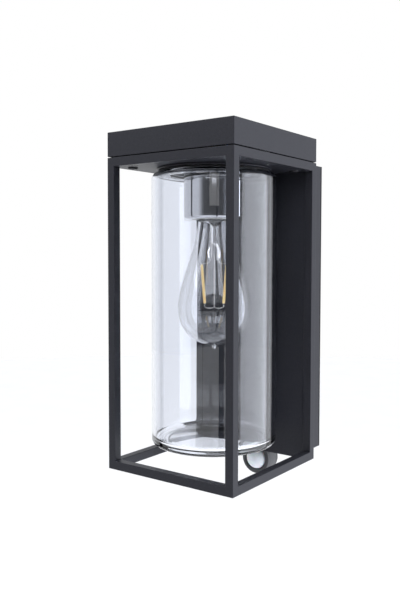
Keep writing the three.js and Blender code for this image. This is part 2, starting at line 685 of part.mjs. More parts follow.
const CONTACT_RADIUS = 5.5;
const CONTACT_THICKNESS = 1.4;
const contactFace = LAMP_TOP + FIT_GAP;
const contactOutline = [
  [0, contactFace],
  [CONTACT_RADIUS - 1.5, contactFace],
  [CONTACT_RADIUS, contactFace + CONTACT_THICKNESS / 2],
  [CONTACT_RADIUS, contactFace + CONTACT_THICKNESS],
  [CONTACT_RIVET, contactFace + CONTACT_THICKNESS],
  [CONTACT_RIVET, SOCKET_FLOOR + 5],
  [0, SOCKET_FLOOR + 5],
];
add('socket_contact', turned(contactOutline, COARSE), brass, holder);

const nippleBore = NIPPLE_RADIUS - NIPPLE_WALL;
const nipple = ring(nippleBore, NIPPLE_RADIUS, NIPPLE_BOTTOM, NIPPLE_TOP, 24);
add('holder_nipple', nipple, brass, holder);

const nutBottom = STRAP_TOP + SEAT_GAP;
const nutTop = nutBottom + NUT_HEIGHT;
const nutBlank = rod(NUT_RADIUS, nutBottom, nutTop, 6);
const nutBore = rod(ENTRY_RADIUS, nutBottom - 1, nutTop + 1, 24);
add('holder_nut', cut(nutBlank, nutBore), zinc, holder);

const strapFootBottom = PLATE_TOP + SEAT_GAP;
const strapFootTop = strapFootBottom + STRAP_THICKNESS;
const strapAcross = [-STRAP_WIDTH / 2, STRAP_WIDTH / 2];
const strapBridge = box(
  [-STRAP_LEG - STRAP_THICKNESS, STRAP_LEG + STRAP_THICKNESS],
  strapAcross,
  [STRAP_UNDERSIDE, STRAP_TOP],
);
const strapPieces = [];
const strapBores = [rod(ENTRY_RADIUS, STRAP_UNDERSIDE - 1, STRAP_TOP + 1, 24)];
const sorted = (a, b) => [Math.min(a, b), Math.max(a, b)];
for (const side of [-1, 1]) {
  const inner = side * STRAP_LEG;
  const outer = side * (STRAP_LEG + STRAP_THICKNESS);
  const end = side * STRAP_FOOT_END;
  strapPieces.push(box(sorted(inner, outer), strapAcross, [strapFootBottom, STRAP_TOP]));
  strapPieces.push(box(sorted(inner, end), strapAcross, [strapFootBottom, strapFootTop]));
  const bore = rod(STRAP_SCREW_SHANK + FIT_GAP, strapFootBottom - 1, strapFootTop + 1);
  strapBores.push(at(bore, side * STRAP_SCREW_X, 0, 0));
}
add('holder_strap', cut(join(strapBridge, ...strapPieces), ...strapBores), zinc, holder);

for (const [side, x] of [['left', -STRAP_SCREW_X], ['right', STRAP_SCREW_X]]) {
  const seat = strapFootTop + SEAT_GAP;
  const headTop = seat + STRAP_SCREW_HEAD_HEIGHT;
  const outline = [
    [0, PLATE_UNDERSIDE],
    [STRAP_SCREW_SHANK, PLATE_UNDERSIDE],
    [STRAP_SCREW_SHANK, seat],
    [STRAP_SCREW_HEAD, seat],
    [STRAP_SCREW_HEAD, headTop - SCREW_EDGE],
    [STRAP_SCREW_HEAD - SCREW_EDGE, headTop],
    [0, headTop],
  ];
  add(`strap_screw_${side}`, at(turned(outline, COARSE), x, 0, 0), zinc, holder);
}

// ------------------------------------------------------------------------------ lamp

// The lamp is drawn downwards from its centre contact, and turned about its axis so
// that its filaments stand across the lantern's front right corner.
const lamp = new THREE.Group();
lamp.position.set(0, AXIS_Y, LAMP_TOP);
lamp.rotation.z = LAMP_TURN;
lantern.add(lamp);

const CONTACT_HEIGHT = 1.3;
const VITRITE_HEIGHT = 3.3;
const vitriteTop = -CONTACT_HEIGHT - FIT_GAP;
const capShellTop = vitriteTop - VITRITE_HEIGHT;
add('lamp_contact', turned([
  [0, -CONTACT_HEIGHT],
  [4.8, -CONTACT_HEIGHT],
  [4.8, -0.5],
  [3.8, 0],
  [0, 0],
], 24), bright, lamp);
add('lamp_cap_insulator', turned([
  [0, capShellTop + FIT_GAP],
  [LAMP_CAP_RADIUS - 1.5, capShellTop + FIT_GAP],
  [5.8, vitriteTop],
  [0, vitriteTop],
], 24), blackPlastic, lamp);
const capShellInner = LAMP_CAP_RADIUS - LAMP_CAP_WALL;
add('lamp_cap', ring(capShellInner, LAMP_CAP_RADIUS, -LAMP_CAP_LENGTH, capShellTop), bright, lamp);

// Outside of the envelope below the cap, as [radius, depth] under the contact.
const neckInCap = capShellInner - FIT_GAP;
const nib = 4;
const bulbBottom = LAMP_LENGTH - nib;
const envelopeCurve = new THREE.SplineCurve([
  [14, LAMP_CAP_LENGTH + 2.5],
  [15.3, 37],
  [19.6, 54],
  [25.4, 74],
  [30.2, 92],
  [LAMP_RADIUS, 105],
  [29.6, 119],
  [22, 130],
  [10, 136.6],
  [0, bulbBottom],
].map(([radius, depth]) => new THREE.Vector2(radius, -depth)));
const ENVELOPE_STEPS = 14;
const envelopeOutside = envelopeCurve.getPoints(ENVELOPE_STEPS);
const envelopeInside = envelopeOutside.map((point, i) => {
  const tangent = envelopeCurve.getTangent(i / ENVELOPE_STEPS);
  const inward = new THREE.Vector2(tangent.y, -tangent.x).multiplyScalar(LAMP_GLASS_WALL);
  return point.clone().add(inward);
});
const outside = envelopeOutside.slice(0, -1).map((point) => [point.x, point.y]).reverse();
const inside = envelopeInside.slice(0, -1).map((point) => [point.x, point.y]);
const envelopeNeck = -LAMP_CAP_LENGTH - FIT_GAP;
add('lamp_envelope', turned([
  [0, -LAMP_LENGTH],
  [1.2, -LAMP_LENGTH + 0.8],
  [1.8, -bulbBottom - 1.2],
  ...outside.filter(([radius]) => radius > 2.5),
  [neckInCap, envelopeNeck],
  [neckInCap, envelopeNeck + NECK_IN_CAP],
  [neckInCap - LAMP_GLASS_WALL, envelopeNeck + NECK_IN_CAP],
  [neckInCap - LAMP_GLASS_WALL, envelopeNeck - 1.5],
  ...inside.filter(([radius]) => radius > 1),
  [0, -bulbBottom + LAMP_GLASS_WALL],
]), clearGlass, lamp);

const stemFlare = neckInCap - LAMP_GLASS_WALL - FIT_GAP;
const PRESS_BOTTOM = FILAMENT_TOP - 2.5;
add('lamp_stem', turned([
  [0, -PRESS_BOTTOM],
  [3.8, -PRESS_BOTTOM + 0.8],
  [5.6, -PRESS_BOTTOM + 5],
  [5.3, -PRESS_BOTTOM + 9],
  [4.4, -PRESS_BOTTOM + 12],
  [4.4, -LAMP_CAP_LENGTH - 8],
  [stemFlare - 2, -LAMP_CAP_LENGTH - 1],
  [stemFlare, -LAMP_CAP_LENGTH + 2],
  [stemFlare, -LAMP_CAP_LENGTH + 3.5],
  [0, -LAMP_CAP_LENGTH + 3.5],
], COARSE), clearGlass, lamp);

const WIRE_FINE = 0.45;
const supportTop = -PRESS_BOTTOM - FIT_GAP;
const supportBottom = -FILAMENT_BOTTOM - 2.5;
const arms = [];
for (const [number, side] of [[1, -1], [2, 1]]) {
  const top = [side * FILAMENT_TOP_SPREAD, 0, -FILAMENT_TOP];
  const bottom = [side * FILAMENT_BOTTOM_SPREAD, 0, -FILAMENT_BOTTOM];
  const leadEnd = [side * FILAMENT_TOP_SPREAD, 0, -FILAMENT_TOP - 0.5];
  const leadStart = [side * 6.1, 0, -PRESS_BOTTOM + 4];
  const strip = link(top, bottom, FILAMENT_RADIUS, 12);
  add(`lamp_filament_${number}`, join(strip, link(leadStart, leadEnd, WIRE_FINE)), phosphor, lamp);
  const armEnd = [side * (FILAMENT_BOTTOM_SPREAD + 0.6), 0, -FILAMENT_BOTTOM - 1];
  arms.push(link([0, 0, supportBottom + 0.6], armEnd, WIRE_FINE));
}
add('lamp_support', join(rod(0.6, supportBottom, supportTop, 8), ...arms), bright, lamp);

// --------------------------------------------------------------------- motion sensor

const sensor = new THREE.Group();
sensor.position.set(0, 0, SENSOR_Z);
lantern.add(sensor);

// Turned pieces of the sensor are drawn with their height read towards the front.
function facing(outline, facets = MEDIUM) {
  return turned(outline, facets).rotateX(Math.PI / 2);
}

const sensorInner = SENSOR_RADIUS - SENSOR_WALL;
const DIAL_Y = SENSOR_BODY_FRONT + LENS_FLANGE + DIAL_RADIUS + 2 * FIT_GAP;
const sensorTube = facing([
  [sensorInner, -SENSOR_BODY_BACK],
  [SENSOR_RADIUS, -SENSOR_BODY_BACK],
  [SENSOR_RADIUS, -SENSOR_BODY_FRONT],
  [sensorInner, -SENSOR_BODY_FRONT],
]);
const sensorHoles = [-1, 1].map((side) => {
  const hole = rod(DIAL_RADIUS + FIT_GAP, -SENSOR_RADIUS - 1, -SENSOR_RADIUS / 2, 20);
  return at(hole, side * DIAL_SPACING / 2, DIAL_Y, 0);
});
const neckEntry = rod(SENSOR_NECK_RADIUS + FIT_GAP, SENSOR_RADIUS / 2, SENSOR_RADIUS + 1);
sensorHoles.push(at(neckEntry, 0, SENSOR_MIDDLE, 0));
add('sensor_body', cut(sensorTube, ...sensorHoles), blackPlastic, sensor);

add('sensor_bezel', facing([
  [LENS_RADIUS + FIT_GAP, -SENSOR_BODY_FRONT + SEAT_GAP],
  [SENSOR_RADIUS, -SENSOR_BODY_FRONT + SEAT_GAP],
  [SENSOR_RADIUS, -SENSOR_FRONT - 0.8],
  [SENSOR_RADIUS - 0.8, -SENSOR_FRONT],
  [LENS_RADIUS + 1.1, -SENSOR_FRONT],
  [LENS_RADIUS + FIT_GAP, -SENSOR_FRONT - 0.8],
]), blackPlastic, sensor);

const lensBase = -SENSOR_FRONT - 1;
const lensSphere = (LENS_RADIUS ** 2 + LENS_HEIGHT ** 2) / (2 * LENS_HEIGHT);
const lensCentre = lensBase + LENS_HEIGHT - lensSphere;
const edgeAngle = (size) => THREE.MathUtils.radToDeg(Math.asin((lensBase - lensCentre) / size));
const lensEdge = edgeAngle(lensSphere);
const innerEdge = edgeAngle(lensSphere - LENS_WALL);
const lensFlange = SENSOR_RADIUS - SENSOR_WALL - FIT_GAP;
add('sensor_lens', facing([
  [LENS_RADIUS - LENS_WALL, -SENSOR_BODY_FRONT - LENS_FLANGE],
  [lensFlange, -SENSOR_BODY_FRONT - LENS_FLANGE],
  [lensFlange, -SENSOR_BODY_FRONT],
  [LENS_RADIUS, -SENSOR_BODY_FRONT],
  ...arc(0, lensCentre, lensSphere, lensEdge, 90, 5).slice(0, -1),
  [0, lensBase + LENS_HEIGHT],
  [0, lensBase + LENS_HEIGHT - LENS_WALL],
  ...arc(0, lensCentre, lensSphere - LENS_WALL, innerEdge, 90, 5).slice(0, -1).reverse(),
]), whitePlastic, sensor);

add('sensor_cover', facing([
  [0, -SENSOR_BACK],
  [SENSOR_RADIUS, -SENSOR_BACK],
  [SENSOR_RADIUS, -SENSOR_BODY_BACK - SEAT_GAP],
  [0, -SENSOR_BODY_BACK - SEAT_GAP],
]), blackPlastic, sensor);

const BOARD_BACK = SENSOR_BODY_BACK - 2;
const BOARD_THICKNESS = 1.2;
const boardRadius = sensorInner - 2 * FIT_GAP;
add('sensor_board', facing([
  [0, -BOARD_BACK],
  [boardRadius, -BOARD_BACK],
  [boardRadius, -BOARD_BACK + BOARD_THICKNESS],
  [0, -BOARD_BACK + BOARD_THICKNESS],
], 24), board, sensor);
const elementBack = -BOARD_BACK + BOARD_THICKNESS + SEAT_GAP;
add('sensor_element', facing([
  [0, elementBack],
  [4.6, elementBack],
  [4.6, elementBack + 0.6],
  [4.1, elementBack + 0.6],
  [4.1, elementBack + 4.2],
  [0, elementBack + 4.2],
], 24), bright, sensor);

for (const [name, side] of [['time_dial', -1], ['light_dial', 1]]) {
  const bottom = -SENSOR_RADIUS - DIAL_PROUD;
  const slot = box(
    [-DIAL_RADIUS, DIAL_RADIUS],
    [-DIAL_SLOT_WIDTH / 2, DIAL_SLOT_WIDTH / 2],
    [bottom - 1, bottom + DIAL_SLOT_DEPTH],
  );
  const spindle = cut(rod(DIAL_RADIUS, bottom, -sensorInner - SEAT_GAP, 20), slot);
  add(name, at(spindle, side * DIAL_SPACING / 2, DIAL_Y, 0), whitePlastic, sensor);
}

const neckFlangeBottom = BOX_FLOOR + SEAT_GAP;
const neckFlangeTop = neckFlangeBottom + SENSOR_NECK_FLANGE_THICKNESS;
const neckBottom = SENSOR_Z + SENSOR_RADIUS - SENSOR_WALL - SEAT_GAP;
const neckBore = SENSOR_NECK_RADIUS - SENSOR_NECK_WALL;
const sensorNeck = turned([
  [neckBore, neckBottom],
  [SENSOR_NECK_RADIUS, neckBottom],
  [SENSOR_NECK_RADIUS, neckFlangeBottom],
  [SENSOR_NECK_FLANGE, neckFlangeBottom],
  [SENSOR_NECK_FLANGE, neckFlangeTop],
  [neckBore, neckFlangeTop],
], 24);
add('sensor_neck', at(sensorNeck, 0, SENSOR_MIDDLE, 0), blackPlastic);

// ---------------------------------------------------------------- terminals and wires

const terminalBack = BOX_INSIDE_FRONT + SEAT_GAP;
const terminalFront = terminalBack + TERMINAL_DEPTH;
const terminalBottom = TERMINAL_Z - TERMINAL_HEIGHT / 2;
const terminalTop = TERMINAL_Z + TERMINAL_HEIGHT / 2;
const poleGap = TERMINAL_WIDTH / 3;
const terminalBlank = box(
  [-TERMINAL_WIDTH / 2, TERMINAL_WIDTH / 2],
  [terminalBack, terminalFront],
  [terminalBottom, terminalTop],
);
const poles = [-1, 0, 1].map((step) => step * poleGap);
const WIRE_Y = (terminalBack + terminalFront) / 2;
const poleBores = poles.flatMap((x) => [
  at(rod(2, terminalBottom - 1, terminalTop + 1, 12), x, WIRE_Y, 0),
  at(alongY(rod(2.2, 0, 6, 12)), x, WIRE_Y + 1, TERMINAL_Z),
]);
const poleNotches = [-0.5, 0.5].map((step) => box(
  [step * poleGap - 0.6, step * poleGap + 0.6],
  [terminalBack + 4, terminalFront + 1],
  [terminalBottom - 1, terminalTop + 1],
));
add('terminal_block', cut(terminalBlank, ...poleBores, ...poleNotches), whitePlastic);

// A lamp wire leaves the terminals, climbs the wall box, crosses the rear rail, rises
// over the collar and drops into the nipple.
const WIRE_PEAK = CAP_CEILING - WIRE_RADIUS - 1;
const climbY = BOX_INSIDE_FRONT + 6;
const nippleOffset = WIRE_RADIUS + 0.25;
function lampWire(side, poleX) {
  const x = side * WIRE_PITCH / 2;
  return wire([
    [poleX, WIRE_Y, terminalTop - 4],
    [poleX, WIRE_Y, terminalTop + 8],
    [x + (poleX - x) * 0.4, climbY, terminalTop + 30],
    [x, climbY, WIRE_HOLE_Z - 25],
    [x, climbY - 1, WIRE_HOLE_Z - 7],
    [x, BOX_INSIDE_FRONT + 1.4, WIRE_HOLE_Z - 0.5],
    [x, FRAME_REAR - TUBE / 2, WIRE_HOLE_Z],
    [x, FRAME_REAR - TUBE - 2.5, WIRE_HOLE_Z + 0.4],
    [x, FRAME_REAR - TUBE - 8, PLATE_TOP + 9],
    [x, FRAME_REAR - TUBE - 20, WIRE_PEAK - 4],
    [x, AXIS_Y + 20, WIRE_PEAK - 0.5],
    [side * nippleOffset, AXIS_Y + 6, WIRE_PEAK],
    [side * nippleOffset, AXIS_Y + 1.2, WIRE_PEAK - 1.6],
    [side * nippleOffset, AXIS_Y, NIPPLE_TOP - 1],
    [side * nippleOffset, AXIS_Y, NIPPLE_BOTTOM],
  ], WIRE_RADIUS, 54);
}
add('lamp_wire_neutral', lampWire(-1, poles[0]), blueWire);
add('lamp_wire_live', lampWire(1, poles[2]), brownWire);

const EARTH_SCREW_X = 28;
const EARTH_SCREW_Z = TERMINAL_Z - 36;
const earthHead = alongY(turned([
  [0, 0],
  [3.8, 0],
  [3.8, 1.6],
  [2.8, 2.4],
  [0, 2.4],
], COARSE));
add('earth_screw', at(earthHead, EARTH_SCREW_X, BOX_INSIDE_FRONT + SEAT_GAP, EARTH_SCREW_Z), brass);
add('earth_wire', wire([
  [poles[1], WIRE_Y, terminalBottom + 4],
  [poles[1], WIRE_Y, terminalBottom - 6],
  [poles[1] + 8, WIRE_Y, terminalBottom - 15],
  [EARTH_SCREW_X - 9, WIRE_Y, EARTH_SCREW_Z + 2],
  [EARTH_SCREW_X - 5.4, BOX_INSIDE_FRONT + 2.2, EARTH_SCREW_Z],
], WIRE_RADIUS, 24), earthWire);

const leadX = poles[0];
add('sensor_lead', wire([
  [leadX, WIRE_Y, terminalBottom + 4],
  [leadX, WIRE_Y, terminalBottom - 8],
  [leadX + 2, climbY, terminalBottom - 30],
  [-8, climbY, BOX_MIDDLE - 60],
  [-4, climbY, BOX_FLOOR + 30],
  [-0.6, SENSOR_MIDDLE - 1, BOX_FLOOR + 14],
  [0, SENSOR_MIDDLE, BOX_FLOOR + 6],
  [0, SENSOR_MIDDLE, SENSOR_Z + SENSOR_RADIUS],
  [0, SENSOR_MIDDLE, SENSOR_Z + SENSOR_RADIUS - 6],
], WIRE_RADIUS, 30), greyWire);

// ------------------------------------------------------------------- origin at the wall

lantern.position.set(0, 0, -BOX_MIDDLE);

const group = new THREE.Group();
group.add(lantern);

export default group;
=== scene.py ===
"""The looks of an outdoor wall lantern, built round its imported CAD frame.

Metres, +Z up. The lantern faces -Y and its wall face lies on Y = 0.
"""

import math
from itertools import product

import bmesh
import bpy
from mathutils import Matrix, Vector


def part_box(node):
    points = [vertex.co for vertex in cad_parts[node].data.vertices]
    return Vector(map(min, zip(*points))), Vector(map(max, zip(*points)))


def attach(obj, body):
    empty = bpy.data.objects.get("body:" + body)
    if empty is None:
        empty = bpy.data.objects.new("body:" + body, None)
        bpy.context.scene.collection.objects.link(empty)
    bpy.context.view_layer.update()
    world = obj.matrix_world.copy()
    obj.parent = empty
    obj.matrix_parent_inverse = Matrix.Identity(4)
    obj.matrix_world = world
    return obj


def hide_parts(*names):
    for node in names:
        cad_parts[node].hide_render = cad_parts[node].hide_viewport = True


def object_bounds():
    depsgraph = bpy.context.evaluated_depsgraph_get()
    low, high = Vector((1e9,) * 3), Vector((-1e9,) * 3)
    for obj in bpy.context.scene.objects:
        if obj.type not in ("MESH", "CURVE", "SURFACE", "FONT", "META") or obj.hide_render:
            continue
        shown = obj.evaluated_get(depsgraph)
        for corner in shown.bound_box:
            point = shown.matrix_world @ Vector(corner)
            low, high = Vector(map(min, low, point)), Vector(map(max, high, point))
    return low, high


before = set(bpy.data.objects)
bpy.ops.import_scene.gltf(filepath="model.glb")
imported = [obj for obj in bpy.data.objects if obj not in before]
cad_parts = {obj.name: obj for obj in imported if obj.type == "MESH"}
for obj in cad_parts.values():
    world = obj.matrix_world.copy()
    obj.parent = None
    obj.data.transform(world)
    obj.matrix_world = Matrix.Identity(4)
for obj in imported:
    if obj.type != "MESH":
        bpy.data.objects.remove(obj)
CAD_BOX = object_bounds()

MM = 0.001
FINE = 128
MEDIUM = 64
COARSE = 32
SHARP = math.radians(35)
BEVELLED = math.radians(40)
STRAIGHT = math.radians(176)
EDGE_ROUND = 0.45 * MM
WELD = 0.003 * MM
NIL = 1e-7


# ---- material helpers

def material(name, color, roughness, metallic=0.0, **sockets):
    """A Principled material with its constant values set on the shader itself."""
    made = bpy.data.materials.new(name)
    made.use_nodes = True
    constants = dict(Base_Color=(*color, 1), Roughness=roughness, Metallic=metallic, **sockets)
    for socket, value in constants.items():
        shader_of(made).inputs[socket.replace("_", " ")].default_value = value
    return made


def node(made, kind, **values):
    """A new node; values set its inputs by name, or its own settings."""
    new = made.node_tree.nodes.new(kind)
    for key, value in values.items():
        if key in new.inputs:
            new.inputs[key].default_value = value
        else:
            setattr(new, key, value)
    return new


def wire_up(made, source, target):
    made.node_tree.links.new(source, target)


def shader_of(made):
    return made.node_tree.nodes["Principled BSDF"]


def coordinates(made, stretch=(1, 1, 1)):
    """Places on the object in metres, with each axis scaled by stretch."""
    place = node(made, "ShaderNodeTexCoord")
    mapping = node(made, "ShaderNodeMapping", Scale=stretch)
    wire_up(made, place.outputs["Object"], mapping.inputs["Vector"])
    return mapping.outputs["Vector"]


def noise(made, size, detail=3.0, stretch=(1, 1, 1)):
    """Soft noise whose lumps are about the given size in metres."""
    texture = node(made, "ShaderNodeTexNoise", Scale=1 / size, Detail=detail)
    wire_up(made, coordinates(made, stretch), texture.inputs["Vector"])
    return texture.outputs["Fac"]


def cells(made, size, feature="F1", stretch=(1, 1, 1)):
    """Voronoi cells of about the given size in metres."""
    texture = node(made, "ShaderNodeTexVoronoi", Scale=1 / size, feature=feature)
    wire_up(made, coordinates(made, stretch), texture.inputs["Vector"])
    return texture.outputs["Distance"]


def ranged(made, value, least, most, start=0.3, end=0.7, curve="LINEAR"):
    """The value from start to end, spread from least to most."""
    spread = node(made, "ShaderNodeMapRange", interpolation_type=curve)
    numbers = {"From Min": start, "From Max": end, "To Min": least, "To Max": most}
    for socket, number in numbers.items():
        spread.inputs[socket].default_value = number
    wire_up(made, value, spread.inputs["Value"])
    return spread.outputs["Result"]


def vary_color(made, value, dark, light):
    """Base colour that wanders between two colours."""
    ramp = node(made, "ShaderNodeValToRGB")
    for element, position, color in zip(ramp.color_ramp.elements, (0.3, 0.7), (dark, light)):
        element.position = position
        element.color = (*color, 1)
    wire_up(made, value, ramp.inputs["Fac"])
    wire_up(made, ramp.outputs["Color"], shader_of(made).inputs["Base Color"])


def vary_roughness(made, value, least, most):
    wire_up(made, ranged(made, value, least, most), shader_of(made).inputs["Roughness"])


def bump(made, value, depth):
    """Relief of the given depth in metres, on top of any relief already there."""
    relief = node(made, "ShaderNodeBump", Distance=depth, Strength=1.0)
    wire_up(made, value, relief.inputs["Height"])
    normal = shader_of(made).inputs["Normal"]
    if normal.is_linked:
        wire_up(made, normal.links[0].from_socket, relief.inputs["Normal"])
    wire_up(made, relief.outputs["Normal"], normal)


def tinted(color, factor):
    return tuple(channel * factor for channel in color)


# ---- materials

def powder_coat():
    """Satin anthracite powder coat: fine orange peel, a dusting of lighter specks."""
    color = (0.020, 0.0205, 0.026)
    made = material("powder_coat", color, 0.38, Specular_IOR_Level=0.14)
    vary_color(made, noise(made, 0.9 * MM, 4), tinted(color, 0.86), tinted(color, 1.16))
    vary_roughness(made, noise(made, 14 * MM, 4), 0.36, 0.4)
    bump(made, noise(made, 0.8 * MM, 2), 0.006 * MM)
    bump(made, noise(made, 4 * MM, 2), 0.012 * MM)
    return made


def turned_aluminium():
    """Satin aluminium with fine turning lines round it."""
    made = material("turned_aluminium", (0.6, 0.605, 0.62), 0.08, 1.0)
    lines = noise(made, 1 * MM, 2, (0.02, 0.02, 4))
    vary_color(made, lines, (0.58, 0.585, 0.6), (0.62, 0.625, 0.64))
    vary_roughness(made, noise(made, 16 * MM, 3), 0.07, 0.095)
    bump(made, lines, 0.0001 * MM)
    return made


def zinc_plate():
    """Zinc-plated steel: a faint crystal pattern and dull patches."""
    made = material("zinc_plate", (0.55, 0.56, 0.57), 0.4, 1.0)
    vary_color(made, cells(made, 2.4 * MM), (0.57, 0.58, 0.59), (0.52, 0.53, 0.545))
    vary_roughness(made, noise(made, 6 * MM, 4), 0.36, 0.46)
    bump(made, noise(made, 0.6 * MM, 3), 0.006 * MM)
    return made


def bare_metal(name, color, roughness):
    """Drawn brass or nickelled brass with handling marks."""
    made = material(name, color, roughness, 1.0)
    vary_color(made, noise(made, 3 * MM, 4), tinted(color, 0.82), tinted(color, 1.08))
    vary_roughness(made, noise(made, 1.4 * MM, 4), roughness * 0.75, roughness * 1.4)
    bump(made, noise(made, 0.5 * MM, 2), 0.003 * MM)
    return made


def glazed_ceramic():
    """White porcelain with faint specks under a thin glaze."""
    made = material("glazed_ceramic", (0.85, 0.84, 0.8), 0.28, Coat_Weight=0.4, Coat_Roughness=0.12)
    vary_color(made, noise(made, 1.2 * MM, 5), (0.80, 0.79, 0.74), (0.88, 0.87, 0.84))
    bump(made, noise(made, 3 * MM, 2), 0.02 * MM)
    return made


def soft_rubber():
    """Black closed-cell rubber with small open pores."""
    made = material("soft_rubber", (0.018, 0.018, 0.02), 0.8, Specular_IOR_Level=0.35)
    vary_color(made, noise(made, 1.5 * MM, 4), (0.013, 0.013, 0.014), (0.03, 0.03, 0.032))
    bump(made, cells(made, 0.7 * MM), 0.06 * MM)
    return made


def jar_glass():
    """Clear pressed glass: a barely lavender tint and long shallow ripples."""
    made = material("jar_glass", (0.903, 0.92, 0.962), 0.0, IOR=1.5, Transmission_Weight=1.0)
    vary_color(made, noise(made, 60 * MM, 2), (0.895, 0.913, 0.957), (0.911, 0.927, 0.967))
    bump(made, noise(made, 28 * MM, 1, (1, 1, 0.35)), 0.08 * MM)
    return made


def lamp_glass():
    """Thin blown glass with a slight drawn waviness."""
    made = material("lamp_glass", (0.985, 0.985, 0.987), 0.0, IOR=1.6, Transmission_Weight=1.0)
    vary_color(made, noise(made, 40 * MM, 2), (0.98, 0.98, 0.983), (0.99, 0.99, 0.99))
    bump(made, noise(made, 18 * MM, 1, (1, 1, 0.5)), 0.04 * MM)
    return made


def moulded_plastic(name, color, roughness, grain=0.5 * MM):
    """Moulded plastic with a fine spark-eroded grain."""
    made = material(name, color, roughness, Specular_IOR_Level=0.5)
    vary_color(made, noise(made, 8 * MM, 3), tinted(color, 0.9), tinted(color, 1.1))
    vary_roughness(made, noise(made, 2.5 * MM, 3), roughness * 0.85, roughness * 1.2)
    bump(made, noise(made, grain, 3), 0.015 * MM)
    return made


def lens_plastic():
    """Milky polyethylene of a motion sensor's lens."""
    made = material("lens_plastic", (0.79, 0.82, 0.86), 0.3, Subsurface_Weight=0.35,
                    Subsurface_Scale=2 * MM, Coat_Weight=0.2)
    vary_color(made, noise(made, 5 * MM, 3), (0.74, 0.775, 0.82), (0.83, 0.855, 0.89))
    bump(made, noise(made, 0.9 * MM, 2), 0.01 * MM)
    return made


def circuit_board():
    """Green solder mask over a grid of copper tracks."""
    made = material("circuit_board", (0.03, 0.17, 0.06), 0.35)
    tracks = cells(made, 2.2 * MM, "DISTANCE_TO_EDGE")
    edge = ranged(made, tracks, 1.0, 0.0, 0.02, 0.12)
    vary_color(made, edge, (0.02, 0.13, 0.045), (0.07, 0.30, 0.12))
    bump(made, edge, 0.03 * MM)
    return made


def phosphor_with_painted_glow():
    """Cast yellow phosphor silicone along a filament strip; its faint emission is a painted glow
    that stands in for light on the unlit strips.
    """
    # The emission colour and strength are painted light: a faint glow on strips that are not
    # switched on.
    made = material("phosphor_with_painted_glow", (0.93, 0.74, 0.36), 0.45,
                    Subsurface_Weight=0.2, Subsurface_Scale=1 * MM,
                    Emission_Color=(1, 0.72, 0.3, 1), Emission_Strength=0.5)
    vary_color(made, noise(made, 1.6 * MM, 3), (0.9, 0.66, 0.25), (0.95, 0.8, 0.46))
    bump(made, noise(made, 0.7 * MM, 2), 0.04 * MM)
    return made


def pvc(name, color):
    """Extruded PVC insulation."""
    made = material(name, color, 0.42, Specular_IOR_Level=0.45)
    vary_color(made, noise(made, 4 * MM, 2), tinted(color, 0.85), tinted(color, 1.12))
    bump(made, noise(made, 1.2 * MM, 2), 0.015 * MM)
    return made


def earth_pvc():
    """Green insulation with a yellow stripe wound along it."""
    made = material("earth_pvc", (0.1, 0.35, 0.03), 0.42)
    stripe = node(made, "ShaderNodeTexWave", Scale=110.0, bands_direction="DIAGONAL")
    wire_up(made, coordinates(made), stripe.inputs["Vector"])
    vary_color(made, stripe.outputs["Fac"], (0.05, 0.26, 0.03), (0.75, 0.62, 0.04))
    bump(made, noise(made, 1.2 * MM, 2), 0.015 * MM)
    return made


FINISH = {
    "coat": powder_coat(),
    "cup_metal": turned_aluminium(),
    "zinc": zinc_plate(),
    "brass": bare_metal("drawn_brass", (0.62, 0.44, 0.17), 0.28),
    "bright": bare_metal("nickelled_brass", (0.66, 0.65, 0.63), 0.24),
    "ceramic": glazed_ceramic(),
    "rubber": soft_rubber(),
    "jar_glass": jar_glass(),
    "lamp_glass": lamp_glass(),
    "screw_black": bare_metal("blackened_steel", (0.05, 0.05, 0.055), 0.42),
    "black_plastic": moulded_plastic("black_plastic", (0.035, 0.036, 0.04), 0.42),
    "lens_plastic": lens_plastic(),
    "white_plastic": moulded_plastic("white_plastic", (0.78, 0.79, 0.78), 0.4),
    "board": circuit_board(),
    "phosphor": phosphor_with_painted_glow(),
    "wire_blue": pvc("pvc_blue", (0.03, 0.12, 0.45)),
    "wire_brown": pvc("pvc_brown", (0.16, 0.06, 0.025)),
    "wire_earth": earth_pvc(),
    "wire_grey": pvc("pvc_grey", (0.36, 0.37, 0.38)),
}


# ---- mesh helpers

def sizes(name):
    """A CAD node's bottom and top heights, its middle and half its width."""
    lowest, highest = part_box(name)
    return lowest.z, highest.z, (lowest + highest) / 2, (highest.x - lowest.x) / 2


def low(name):
    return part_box(name)[0]


def high(name):
    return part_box(name)[1]


def middle(name):
    return sizes(name)[2]


def half_width(name):
    return sizes(name)[3]


def added(name, data):
    """A new object in the scene."""
    made = bpy.data.objects.new(name, data)
    bpy.context.scene.collection.objects.link(made)
    return made


def piece(name, shape, slot, *stands_for, body="lantern"):
    """Puts a shape in the scene, finished, riding on a body, in place of CAD nodes."""
    made = added(name, to_mesh(name, shape))
    made.data.materials.append(FINISH[slot])
    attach(made, body)
    if stands_for:
        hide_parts(*stands_for)
    return made


def to_mesh(name, shape):
    """A mesh with smooth faces and crisp corners from a bmesh, without loose slivers."""
    bmesh.ops.remove_doubles(shape, verts=shape.verts, dist=WELD)
    bmesh.ops.dissolve_degenerate(shape, edges=shape.edges, dist=WELD)
    slivers = [face for face in shape.faces if sum(edge.is_boundary for edge in face.edges) > 1]
    bmesh.ops.delete(shape, geom=slivers, context="FACES")
    bmesh.ops.recalc_face_normals(shape, faces=shape.faces)
    if shape.calc_volume(signed=True) < 0:
        bmesh.ops.reverse_faces(shape, faces=shape.faces)
    mesh = bpy.data.meshes.new(name)
    shape.to_mesh(mesh)
    shape.free()
    mesh.shade_smooth()
    mesh.set_sharp_from_angle(angle=SHARP)
    return mesh


def bevel(made, width=EDGE_ROUND, segments=3):
    """Rounds the piece's edges."""
    round_edges = made.modifiers.new("round", "BEVEL")
    round_edges.width = width
    round_edges.segments = segments
    round_edges.limit_method = "ANGLE"
    round_edges.angle_limit = BEVELLED
    round_edges.harden_normals = True


